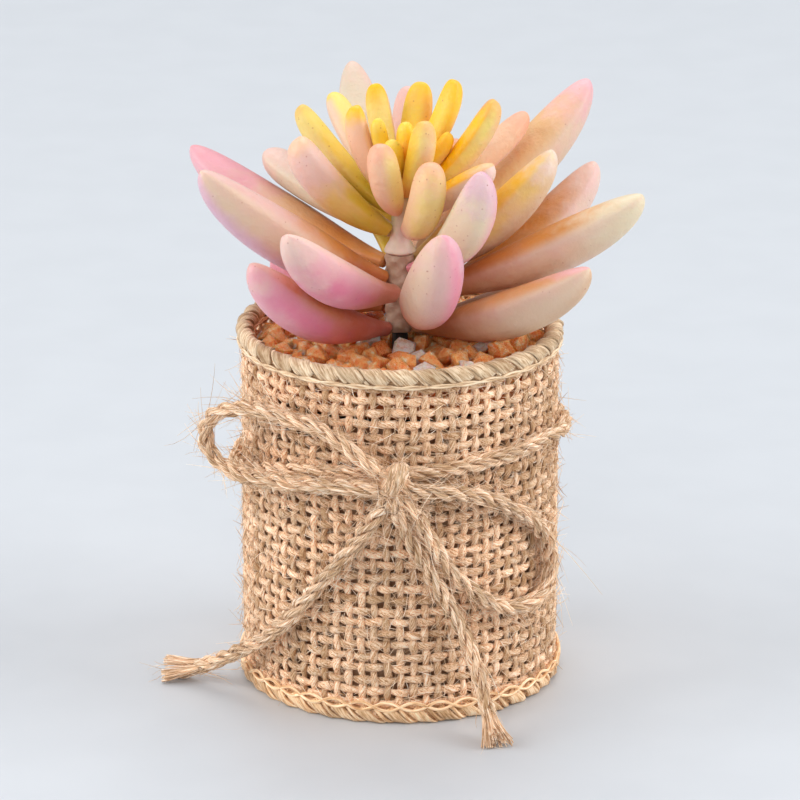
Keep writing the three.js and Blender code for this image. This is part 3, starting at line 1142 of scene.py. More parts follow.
    def _knot(self) -> None:
        """Makes the knot: a band of fibres over the crossing, and the twine that it holds."""
        bundle = Bundle("bow_knot_strands")
        fuzz = Bundle("bow_knot_hairs")
        for points in self.knot_passes:
            centres = self.twine.stations(Route(points))
            self.twine.lay_plies(bundle, centres, self.knot_narrowing)
            self.twine.lay_hairs(fuzz, centres, density=1.6, stray=3.0, longer=0.8)
        self._band(bundle)
        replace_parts(bundle.finish(self.twine.fibre, "jute_twine"), "bow_knot")
        fuzz.finish(self.twine.hair, "jute_twine")

    def _band(self, bundle: Bundle) -> None:
        """Adds the fibres that pass over the knot side by side and draw in at its ends.

        Args:
            bundle: The knot.
        """
        rng, count = self.twine.rng, self.knot_fibres
        turn = np.linspace(0, math.pi, self.knot_rings)[None]
        spread = np.linspace(-1, 1, count)[:, None] + rng.normal(0, 0.05, (count, 1))
        full = np.sqrt(np.clip(1.1 - spread**2, 0.08, 1)) * rng.uniform(0.8, 1.03, (count, 1))
        full = full + 0.06 * drift(rng, count, turn * 3, (5, 2.6))
        half_width, depth, half_height = self.knot_size
        x, y, z = self.knot_centre
        pinch = self.knot_waist + (1 - self.knot_waist) * np.sin(turn)
        across = half_width * (spread + 0.12 * drift(rng, count, turn * 3, (7, 3))) * pinch
        across = across + self.knot_slant * np.cos(turn)
        centres = np.stack(
            [
                x + across,
                y - depth * full * np.sin(turn),
                z + half_height * (0.75 + 0.25 * full) * np.cos(turn),
            ],
            axis=-1,
        )
        bundle.add_tubes(centres, rng.uniform(*self.knot_girth, (count, 1)), (0.1, 1.2), 6, rng)


# ---- Burlap sleeve ----

BURLAP = FibreFinish("burlap_fibre", "b4865c", "efcfaa", "fff2de", "f4d4c0", grain=4.0, patch=380.0)
TOP_YARN = FibreFinish("top_edging_fibre", "b0906e", "d6c0a0", "eadcc2", "f4e2d4", grain=2.6)
# Painted light: the foot edging's yarn is the same yarn as the top's, painted lighter and warmer to offset
# the shade low on the pot.
FOOT_YARN_PAINTED_LIGHT = FibreFinish("foot_edging_fibre_painted_light", "c09468", "e6c59c", "fce8ca", "fae6d2", grain=2.6)


@dataclass
class BurlapSleeve:
    """Plain-weave burlap around the pot, with overlocked edgings."""

    radius: float = 29.35
    foot: float = 1.6
    top: float = 68.2
    warps: int = 76
    wefts: int = 30
    warp_width: float = 1.37
    weft_width: float = 1.52
    warp_wander: float = 0.34
    weft_wander: float = 0.36
    unevenness: float = 0.26
    flatness: float = 0.54
    swing: float = 0.34
    fibre_spin: float = 0.12
    warp_rings: int = 88
    weft_rings: int = 229
    sides: int = 6
    fuzz: int = 6500
    fuzz_gap: float = 0.45
    fuzz_heights: tuple[float, float] = (3.0, 66.0)
    fuzz_lift: tuple[float, float] = (1.1, 0.12)
    fuzz_length: tuple[float, float] = (1.4, 5.5)
    fuzz_width: tuple[float, float] = (0.08, 0.16)
    seed: int = 5

    def build(self) -> None:
        """Makes the weave, its fuzz and its edgings."""
        self.rng = np.random.default_rng(self.seed)
        weave = Bundle("burlap_weave")
        self._warps(weave)
        self._wefts(weave)
        piece = weave.finish(BURLAP.material(), "burlap")
        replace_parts(piece, "burlap_wrap")
        self._fuzz()
        top = Edging("top_edging", TOP_YARN, 69.6, 1, reach=2.7)
        # The foot edging's yarn carries painted light against the shade near the floor.
        foot = Edging("bottom_edging", FOOT_YARN_PAINTED_LIGHT, 0.2, -1, strap_width=3.0, lens=0.8, thread=0.68)
        hems = [top.build(), foot.build()]
        (self.top - self.foot) * MM

    @property
    def row(self) -> float:
        """Height from one weft to the next."""
        return (self.top - self.foot) / (self.wefts - 1)

    def _warps(self, bundle: Bundle) -> None:
        """Adds the upright yarns.

        Args:
            bundle: The weave.
        """
        number = np.arange(self.warps)[:, None]
        height = np.linspace(self.foot, self.top, self.warp_rings)[None]
        over = np.cos(math.pi * (height - self.foot) / self.row)
        rise = over * np.where(number % 2, -1.0, 1.0)
        lean = self.warp_wander * drift(self.rng, self.warps, height, (50, 19, 7)) / self.radius
        angle = number * math.tau / self.warps + lean
        uneven = 0.1 * rise + self.unevenness * drift(self.rng, self.warps, height, (9, 3.4))
        self._lay(bundle, angle, rise, height, self.warp_width * (1 + uneven))

    def _wefts(self, bundle: Bundle) -> None:
        """Adds the yarns that run around the pot. They start and end at the back.

        Args:
            bundle: The weave.
        """
        number = np.arange(self.wefts)[:, None]
        angle = np.linspace(BACK, BACK + math.tau, self.weft_rings)[None]
        rise = -np.cos(self.warps / 2 * angle) * np.where(number % 2, -1.0, 1.0)
        along = angle * self.radius
        wander = self.weft_wander * drift(self.rng, self.wefts, along, (60, 23, 8))
        height = self.foot + self.row * number + wander
        uneven = 0.14 * rise + self.unevenness * drift(self.rng, self.wefts, along, (9, 3.4))
        self._lay(bundle, angle, rise, height, self.weft_width * (1 + uneven))

    def _lay(self, bundle: Bundle, angle: Array, rise: Array, height: Array, width: Array) -> None:
        """Lays yarns that pass in and out between each other.

        Args:
            bundle: The weave.
            angle: Angle around the pot of each yarn's rings, (N, R).
            rise: How far out they lie, from -1 to 1.
            height: Their height.
            width: Their width.
        """
        centres = polar(self.radius + self.swing * rise, angle, height)
        faces = centres * np.array([1, 1, 0])
        depth = width * self.flatness
        bundle.add_tubes(centres, width, (0, 1), self.sides, self.rng, depth, faces, self.fibre_spin)

    def _fuzz(self) -> None:
        """Adds loose fibres over the cloth."""
        rng, count = self.rng, self.fuzz
        bundle = Bundle("burlap_fuzz")
        angle = rng.uniform(0, math.tau, count)
        height = rng.uniform(*self.fuzz_heights, count)
        roots = polar(self.radius + self.fuzz_gap, angle, height)
        outward = polar(1, angle, 0)
        slope = rng.uniform(0, math.tau, count)
        lift = rng.gamma(*self.fuzz_lift, (count, 1))
        aims = unit(swung(slope, np.cross(UP, outward), UP) + outward * lift)
        hairs(bundle, rng, roots, aims, -outward, self.fuzz_length, self.fuzz_width)
        bundle.finish(HAIR_JUTE.material(), "burlap")


@dataclass(frozen=True)
class Strap:
    """One kind of stitch over the edge. Its shift is a share of the way to the next stitch."""

    shift: float
    width: float
    depth: float
    proud: float
    tones: tuple[float, float]


@dataclass
class Edging:
    """Overlock stitching over the cloth's cut edge. Upward is 1 at the top and -1 at the foot."""

    node: str
    yarn: FibreFinish
    crest: float
    upward: int
    radius: float = 29.3
    stitches: int = 38
    reach: float = 3.3
    half_thickness: float = 1.0
    lean: float = 1.25
    wobble: float = 0.05
    drop: float = 0.25
    wrap_angle: float = 125.0
    strap_rings: int = 13
    strap_width: float = 3.7
    strap_depth: float = 0.8
    strap_taper: float = 0.25
    binder: Strap = Strap(0.0, 0.95, 0.6, 0.22, (0.4, 1.0))
    core_rings: int = 229
    core_width: float = 2.9
    core_depth: float = 1.5
    core_drop: float = 1.75
    core_wave: float = 0.05
    core_tone: float = 0.3
    lens: float = 0.26
    thread: float = 0.5
    thread_gap: float = 0.25
    thread_dip: float = 0.12
    thread_drop: float = 0.1
    seed: int = 3

    def build(self) -> bpy.types.Object:
        """Makes the edging.

        Returns:
            Its piece.
        """
        self.rng = np.random.default_rng(self.seed + self.upward)
        bundle = Bundle(self.node + "_stitches")
        self._core(bundle)
        self._straps(bundle)
        self._chain(bundle)
        piece = bundle.finish(self.yarn.material(), "edging_yarn")
        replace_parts(piece, self.node)
        return piece

    def _place(self, angle: Array, out: Any, drop: Array) -> Array:
        """Places on the edging.

        Args:
            angle: Angle around the pot.
            out: Distance out from the cloth.
            drop: Distance from the crest towards the cloth.

        Returns:
            The places, (..., 3).
        """
        return polar(self.radius + out, angle, self.crest - self.upward * drop)

    def _core(self, bundle: Bundle) -> None:
        """Adds the roll of cut cloth that the stitches cover.

        Args:
            bundle: The edging.
        """
        angle = np.linspace(BACK, BACK + math.tau, self.core_rings)
        wave = np.sin(angle * self.stitches) * self.core_wave
        centres = self._place(angle, 0, self.core_drop + wave)[None]
        faces = polar(1, angle, 0)[None]
        tones = (self.core_tone, self.core_tone)
        bundle.add_tubes(centres, self.core_width, tones, 10, depths=self.core_depth, faces=faces)

    def _straps(self, bundle: Bundle) -> None:
        """Adds the puffy straps over the edge and the thin strand between each two.

        Args:
            bundle: The edging.
        """
        pitch = math.tau / self.stitches
        far = math.radians(self.wrap_angle)
        arc = np.linspace(-far, far, self.strap_rings)
        half = self.reach / 2
        stitch = np.arange(self.stitches)[:, None] * pitch + FRONT
        slide = -self.lean * pitch * (1 - arc / far) / 2 * self.upward
        taper = 1 - self.strap_taper * np.abs(np.sin(arc)) ** 3
        puffy = Strap(0.5, self.strap_width, self.strap_depth, 0.0, (0.1, 0.8))
        for strap in (puffy, self.binder):
            wobble = self.rng.normal(0, self.wobble, (self.stitches, 1)) * pitch
            angle = stitch + strap.shift * pitch + slide + wobble
            out = (self.half_thickness + strap.proud) * np.sin(arc)
            drop = half - (half + strap.proud * 0.6) * np.cos(arc) + self.drop
            faces = polar(np.sin(arc), angle, self.upward * np.cos(arc))
            bundle.add_tubes(
                self._place(angle, out, drop), strap.width * taper, strap.tones, 8, self.rng,
                strap.depth, faces,
            )

    def _chain(self, bundle: Bundle) -> None:
        """Adds the two threads that meet at each stitch below the edge, outside and inside.

        Args:
            bundle: The edging.
        """
        turns = np.linspace(0, 1, self.stitches * 8 + 1)
        angle = BACK - math.tau + turns * math.tau
        bulge = np.abs(np.sin((angle - FRONT) * self.stitches / 2))
        for side in (1, -1):
            out = side * (self.half_thickness + self.thread_gap + self.thread_dip * (1 - bulge))
            for spread in (-self.lens, self.lens):
                drop = self.reach + self.thread_drop + spread * bulge
                centres = self._place(angle, out, drop)[None]
                bundle.add_tubes(centres, self.thread, (1.0, 1.3), 5, self.rng)


# ---- Pot, gravel and stems ----


@dataclass
class PotFilling:
    """The plain pot, the peg and the foam, which stay as the CAD made them, and the gravel."""

    gravel_top: float = 68.9
    spacing: float = 4.7
    row_share: float = 0.87
    scatter: float = 0.35
    layers: Sequence[float] = (2.2, 0.0)
    reach: float = 27.9
    peg_gap: float = 4.2
    slope_start: float = 22.0
    slope: float = 0.1
    hollow: float = 2.4
    hollow_half_width: float = 3.6
    hollow_length: float = 7.5
    stone: tuple[float, float] = (2.4, 3.5)
    stone_shape: tuple[float, float] = (0.75, 1.15)
    corners: int = 15
    corner_reach: tuple[float, float] = (0.8, 1.1)
    forms: int = 20
    rim_radius: float = 26.6
    rim_stones: int = 52
    rim_heights: Sequence[float] = (60.6, 62.5, 64.4)
    rim_stone: tuple[float, float] = (1.3, 1.7)
    glue: Profile = (
        (0.0, 63.4), (20.0, 63.6), (26.8, 62.6), (27.6, 61.5), (27.6, 59.6), (0.0, 59.6),
    )
    seed: int = 8

    def build(self) -> None:
        """Dresses the kept nodes and lays the gravel."""
        # Painted shade: the pot's brown body and darker brown clouds stand for the shade in the gaps of the
        # weave; the plastic itself is paler.
        plastic = MouldedFinish("pot_plastic_painted_shade", "bc9878", "86552e", roughness=0.6)
        foam = MouldedFinish("dry_foam", "5f6b4d", "4a5540", roughness=0.9, scale=900.0, relief=0.0004)
        black = MouldedFinish("black_peg", "191716", "26231f", roughness=0.5)
        for node, finish in (("inner_pot", plastic), ("foam_plug", foam), ("stem_peg", black)):
            self._dress(node, finish)
        self.rng = np.random.default_rng(self.seed)
        bundle = Bundle("gravel_stones")
        forms = [self._form() for _ in range(self.forms)]
        for place, size in self._spots():
            form, corners = forms[self.rng.integers(len(forms))]
            turn = self._turn()
            scale = size * self.rng.uniform(*self.stone_shape, 3)
            spots = (corners * scale) @ turn.T + place
            bundle.add(form, spots[None], spots[None], self.rng.uniform(0, 1, 1))
        piece = bundle.finish(StoneFinish().material(), "gravel", False)
        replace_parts(piece, "gravel_bed")
        self._bed()

    @staticmethod
    def _dress(node: str, finish: MouldedFinish) -> None:
        """Gives a kept CAD node its material.

        Args:
            node: The node.
            finish: The material's finish.
        """
        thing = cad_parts[node]
        thing.data.materials.clear()
        thing.data.materials.append(finish.material())

    def _form(self) -> tuple[bpy.types.Mesh, Array]:
        """Makes one crushed stone, the hull of a few random points.

        Returns:
            Its mesh, and the mesh's vertices.
        """
        bm = bmesh.new()
        points = unit(self.rng.normal(0, 1, (self.corners, 3)))
        for point in points * self.rng.uniform(*self.corner_reach, (self.corners, 1)):
            bm.verts.new(point)
        hull = bmesh.ops.convex_hull(bm, input=bm.verts)
        inside = [v for v in hull["geom_interior"] if isinstance(v, bmesh.types.BMVert)]
        bmesh.ops.delete(bm, geom=inside, context="VERTS")
        mesh = meshed(bm, "stone_form")
        return mesh, np.array([v.co for v in mesh.vertices])

    def _turn(self) -> Array:
        """Draws a random turn.

        Returns:
            Its matrix, (3, 3).
        """
        matrix, _ = np.linalg.qr(self.rng.normal(0, 1, (3, 3)))
        if np.linalg.det(matrix) < 0:
            matrix[:, 0] *= -1
        return matrix

    def _spots(self) -> Iterable[tuple[Array, float]]:
        """Places the stones: two layers on top and rings at the rim.

        Returns:
            Each stone's place and size.
        """
        rows = int(self.reach / self.spacing) + 1
        for level, drop in enumerate(self.layers):
            for row in range(-rows, rows + 1):
                for column in range(-rows, rows + 1):
                    x = (column + row % 2 / 2 + level / 3) * self.spacing
                    x = x + self.rng.normal(0, self.scatter)
                    y = row * self.spacing * self.row_share + self.rng.normal(0, self.scatter)
                    far = math.hypot(x, y)
                    size = self.rng.uniform(*self.stone)
                    if far > self.reach - size * 0.7 or far < self.peg_gap:
                        continue
                    is_before_peg = abs(x) < self.hollow_half_width and -self.hollow_length < y < 0
                    sunk = self.slope * max(0.0, far - self.slope_start)
                    sunk = sunk + (self.hollow if is_before_peg else 0.0)
                    height = self.gravel_top - size - drop - sunk + self.rng.normal(0.3, 0.45)
                    yield np.array([x, y, height]), size
        for ring, height in enumerate(self.rim_heights):
            for step in range(self.rim_stones):
                angle = (step + ring / 2) * math.tau / self.rim_stones + self.rng.normal(0, 0.01)
                yield polar(self.rim_radius, angle, height), self.rng.uniform(*self.rim_stone)

    def _bed(self) -> None:
        """Makes the orange glue that the stones sit in."""
        finish = MouldedFinish(
            "gravel_glue_orange", "d07436", "e08c4c", roughness=0.5, scale=500.0, relief=0.0005
        )
        mesh = lathe("gravel_glue", self.glue, 64)
        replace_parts(settle(mesh, finish.material()), "gravel_bed")


def lathe(name: str, profile: Profile, steps: int) -> bpy.types.Mesh:
    """Turns a profile about Z.

    Args:
        name: Name of the mesh.
        profile: Radius and height pairs in millimetres, from axis to axis.
        steps: Facets around.

    Returns:
        The closed mesh.
    """
    bm = bmesh.new()
    verts = [bm.verts.new((radius * MM, 0, height * MM)) for radius, height in profile]
    edges = [bm.edges.new(pair) for pair in zip(verts, verts[1:])]
    bmesh.ops.spin(
        bm, geom=[*verts, *edges], axis=(0, 0, 1), cent=(0, 0, 0), angle=math.tau, steps=steps,
        use_merge=True,
    )
    bmesh.ops.remove_doubles(bm, verts=bm.verts, dist=1e-6)
    bmesh.ops.recalc_face_normals(bm, faces=bm.faces)
    return meshed(bm, name)


@dataclass
class Stems:
    """The thick lower stem and the crown's thin one with its flared skirt."""

    lower: Profile = (
        (0.0, 68.2), (2.4, 68.2), (2.85, 69.2), (2.7, 71.0), (2.95, 73.4), (2.7, 75.8),
        (2.85, 78.2), (2.65, 80.6), (2.75, 82.4), (2.5, 83.4), (0.0, 83.5),
    )
    upper: Profile = (
        (0.0, 82.0), (1.0, 82.0), (1.0, 83.7), (2.9, 83.55), (3.05, 83.9), (2.75, 84.4),
        (2.1, 85.6), (1.75, 87.2), (1.6, 89.0), (1.5, 92.0), (1.6, 95.0), (1.45, 99.5),
        (0.95, 102.6), (0.5, 103.3), (0.0, 103.5),
    )
    lower_knobs: float = 0.16
    upper_knobs: float = 0.07
    smooth_radius: float = 0.6
    samples: int = 70
    steps: int = 40

    def build(self) -> None:
        """Makes both stems."""
        brown = MouldedFinish(
            "stem_brown", "b3947a", "d2b8a2", roughness=0.5, scale=260.0, relief=0.0003, subsurface=0.1
        )
        mesh = self._turned("lower_stem_moulded", self.lower, self.lower_knobs)
        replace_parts(settle(mesh, brown.material()), "lower_stem")
        green = MouldedFinish(
            "stem_pale_green", "ecd6c6", "e2d8b8", roughness=0.45, scale=200.0, relief=0.0002, subsurface=0.2
        )
        mesh = self._turned("upper_stem_moulded", self.upper, self.upper_knobs)
        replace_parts(settle(mesh, green.material()), "upper_stem")

    def _turned(self, name: str, profile: Profile, rough: float) -> bpy.types.Mesh:
        """Turns a stem on the lathe and makes its surface knobbly.

        Args:
            name: Name of the mesh.
            profile: Radius and height pairs in millimetres.
            rough: Depth of the knobs in millimetres.

        Returns:
            The mesh.
        """
        radii, heights = np.array(profile).T
        walk = np.concatenate([[0], np.cumsum(np.hypot(np.diff(radii), np.diff(heights)))])
        fine = np.linspace(0, walk[-1], self.samples)
        dense = list(zip(np.interp(fine, walk, radii), np.interp(fine, walk, heights)))
        mesh = lathe(name, dense, self.steps)
        for vert in mesh.vertices:
            x, y, z = vert.co / MM
            far = math.hypot(x, y)
            if far < self.smooth_radius:
                continue
            angle = math.atan2(y, x)
            knob = math.sin(3 * angle + z * 0.9) * math.sin(z * 1.7 + 2 * angle)
            knob += 0.6 * math.sin(5 * angle - z * 2.3)
            vert.co.x += x / far * rough * knob * MM
            vert.co.y += y / far * rough * knob * MM
        return mesh


# ---- Leaves ----


class Tint(Enum):
    """Sprayed colours of the leaves, as sRGB codes."""

    BROWN = "b97a48"
    RUST = "cc7a40"
    CLAY = "de9478"
    TAN = "d8aa74"
    HONEY = "ecc978"
    BEIGE = "d9b390"
    SAND = "e4c6aa"
    CREAM = "e8d8b8"
    MILK = "dccbb4"
    PALE = "f0dacc"
    BLUSH = "edc8bc"
    DUSTY = "e4b8b0"
    PINK = "efb4bc"
    ROSE = "e08c9a"
    MAGENTA = "e886a2"
    LILAC = "e0b4c6"
    CORAL = "dc806a"
    ORANGE = "de9448"
    AMBER = "eeb254"
    GOLD = "ffc40c"
    YELLOW = "f9d440"
    LEMON = "f4de80"
    STRAW = "edd488"
    OLIVE = "dcc03c"
    PEACH = "f6c8a6"
    SALMON = "f4b090"
    SPECK = "a4423a"


@dataclass(frozen=True)
class Wash:
    """One sprayed colour. It grows along a direction in the leaf's own coordinates.

    The direction weighs the share of the length, the side (1 is counter-clockwise seen from
    above) and the lift (1 is the upper face, -1 the belly).
    """

    tint: Tint
    along: float
    side: float
    lift: float
    start: float
    end: float
    strength: float = 1.0


@dataclass(frozen=True)
class Leaf:
    """One leaf's place, size and colours; the CAD source has the same places and sizes."""

    azimuth: float
    foot: float
    rise: float
    curl: float
    length: float
    width: float
    depth: float
    body: Tint
    washes: tuple[Wash, ...] = ()
    seat: float | None = None
    base: float | None = None
    widest: float | None = None
    specks: float = 0.3


@dataclass(frozen=True)
class LeafStyle:
    """Outline that the leaves of one tier share."""

    tier: str
    stem: float
    widest: float
    base: float
    swell: float
    blunt: float
    taper: float

    def fullness(self, leaf: Leaf, share: Array) -> Array:
        """How full a leaf is along its length.

        Args:
            leaf: The leaf, whose own widest place and base come first.
            share: Shares of its length.

        Returns:
            Shares of its full width and depth.
        """
        widest = leaf.widest or self.widest
        base = leaf.base or self.base
        growth = np.sin(np.pi / 2 * np.clip(share / widest, 0, 1)) ** self.swell
        beyond = np.clip((share - widest) / (1 - widest), 0, 1)
        tip = (1 - beyond**self.blunt) ** self.taper
        return np.where(share <= widest, base + (1 - base) * growth, tip)


LOWER_STYLE = LeafStyle("lower", stem=2.8, widest=0.52, base=0.3, swell=1.4, blunt=2.3, taper=0.52)
UPPER_STYLE = LeafStyle("upper", stem=1.6, widest=0.6, base=0.36, swell=0.9, blunt=3.3, taper=0.4)


def tip(tint: Tint, start: float = 0.7, end: float = 1.0, strength: float = 1.0) -> Wash:
    """Colour at the tip."""
    return Wash(tint, 1, 0, 0, start, end, strength)


def heel(tint: Tint, start: float = 0.35, end: float = 0.0, strength: float = 1.0) -> Wash:
    """Colour at the foot."""
    return Wash(tint, -1, 0, 0, -start, -end, strength)


def top(tint: Tint, start: float = 0.1, end: float = 0.7, strength: float = 1.0) -> Wash:
    """Colour on the upper face."""
    return Wash(tint, 0, 0, 1, start, end, strength)


def belly(tint: Tint, start: float = 0.1, end: float = 0.8, strength: float = 1.0) -> Wash:
    """Colour underneath."""
    return Wash(tint, 0, 0, -1, start, end, strength)


def flank(tint: Tint, side: int, start: float = 0.0, end: float = 0.8, strength: float = 1.0) -> Wash:
    """Colour along one edge: side 1 is counter-clockwise seen from above."""
    return Wash(tint, 0, side, 0, start, end, strength)


# The short name keeps the two tables of leaves readable.
T = Tint
LOWER_LEAVES = (
    Leaf(-139, 69.4, 30, -15, 38.5, 10, 9, T.ROSE,
         (belly(T.MAGENTA, 0.1, 0.7), belly(T.PINK, 0.6, 1.0, 0.6), Wash(T.RUST, -0.5, 0, 1, -0.75, -0.15),
          tip(T.PINK, 0.65, 1.05, 0.8), tip(T.SAND, 0.9, 1.05, 0.6), heel(T.CORAL, 0.55, 0.25))),
    Leaf(-121, 76.8, 29, -12, 42, 10.5, 8.6, T.PINK,
         (belly(T.MAGENTA, 0.0, 0.7), belly(T.PINK, 0.6, 1.1, 0.5), top(T.DUSTY, 0.0, 0.8),
          tip(T.BLUSH, 0.6, 1.0), heel(T.CLAY, 0.45, 0.1)), base=0.42, specks=0.5),
    Leaf(-155, 79.2, 34, -8, 45, 11.5, 10, T.SAND,
         (belly(T.LILAC, 0.5, 1.0), top(T.DUSTY, 0.2, 0.8), tip(T.BLUSH, 0.8, 1.1, 0.4),
          Wash(T.ORANGE, -1, 0, 0.2, -0.5, -0.15), heel(T.RUST, 0.4, 0.1, 0.6)), widest=0.46),
    Leaf(149, 81.4, 20, -10, 46.5, 10.5, 8, T.PINK,
         (top(T.ROSE, 0.1, 0.9, 0.55), heel(T.BEIGE, 0.8, 0.4), heel(T.ORANGE, 0.6, 0.25, 0.9))),
    Leaf(170, 73, 20, -8, 23, 8.5, 7.5, T.ROSE, (heel(T.BROWN, 0.8, 0.3),)),
    Leaf(-78, 72.8, 40, -22, 36, 11, 9.5, T.DUSTY,
         (flank(T.SAND, -1, 0.1, 0.9), flank(T.MAGENTA, 1, -0.1, 0.6, 0.8), flank(T.LILAC, 1, 0.6, 1.1),
          tip(T.PINK, 0.8, 1.05, 0.6), heel(T.CLAY, 0.5, 0.2, 0.7)), seat=-42, base=0.4, specks=0.6),
    Leaf(-29, 69.8, 24, -12, 40.5, 10.5, 9, T.SAND,
         (belly(T.BEIGE, 0.6, 1.1), top(T.ORANGE, 0.2, 0.9, 0.8), Wash(T.PINK, 1.2, 0, 0.4, 1.2, 1.5, 0.8),
          heel(T.BROWN, 0.55, 0.15))),
    Leaf(-13, 75.6, 27, -6, 48.5, 10.5, 9, T.SAND,
         (belly(T.DUSTY, 0.7, 1.1, 0.6), top(T.ORANGE, 0.1, 0.8), tip(T.CREAM, 0.6, 0.95),
          heel(T.BROWN, 0.6, 0.1)), widest=0.6),
    Leaf(21, 74, 32, -19, 44, 9.5, 8, T.SAND,
         (top(T.ORANGE, -0.3, 0.9), tip(T.BLUSH, 0.55, 1.0), heel(T.BROWN, 0.7, 0.1)), widest=0.64),
    Leaf(36, 81.4, 34.5, -10, 50.5, 10.5, 9, T.SAND,
         (top(T.AMBER, 0.1, 0.9, 0.5), tip(T.PINK, 0.7, 1.05), heel(T.HONEY, 0.6, 0.2)), widest=0.6),
    Leaf(16, 69.2, 12, -8, 33, 9, 7, T.TAN, (tip(T.DUSTY), heel(T.BROWN, 0.8, 0.3))),
    Leaf(103, 81.4, 40, -8, 45.5, 9.5, 8, T.MILK,
         (flank(T.DUSTY, -1, 0.3, 1.0, 0.4), tip(T.DUSTY, 0.8, 1.1, 0.7), heel(T.OLIVE, 0.6, 0.2)),
         seat=118),
    Leaf(-48, 81.2, 50, -28, 31, 9, 8, T.CREAM,
         (flank(T.PINK, 1, -0.4, 0.5, 0.9), Wash(T.MAGENTA, -0.8, 0.8, 0, -0.4, 0.4, 0.8),
          tip(T.LILAC, 0.72, 1.0, 0.8), heel(T.ROSE, 0.5, 0.2)), widest=0.62, specks=0.7),
    Leaf(61, 77, 30, -8, 40, 9, 8, T.BLUSH,
         (top(T.AMBER, 0.3, 1.0, 0.5), tip(T.PINK), heel(T.TAN, 0.6, 0.2))),
    Leaf(-3, 80, 43, -10, 35, 9, 8, T.HONEY,
         (belly(T.SAND, 0.2, 0.9, 0.8), top(T.GOLD, 0.1, 0.7, 0.8), tip(T.PALE, 0.75, 1.05),
          heel(T.BROWN, 0.5, 0.1)), base=0.4),
    Leaf(126, 72, 20, -8, 36, 10, 8.5, T.ROSE,
         (top(T.CORAL, 0.1, 0.8), tip(T.PINK, 0.6, 1.0), heel(T.RUST, 0.6, 0.2))),
    Leaf(82, 70.5, 18, -8, 38, 10, 8.5, T.BEIGE,
         (top(T.ORANGE, 0.2, 0.9, 0.7), tip(T.BLUSH, 0.6, 1.0), heel(T.BROWN, 0.55, 0.15))),
)
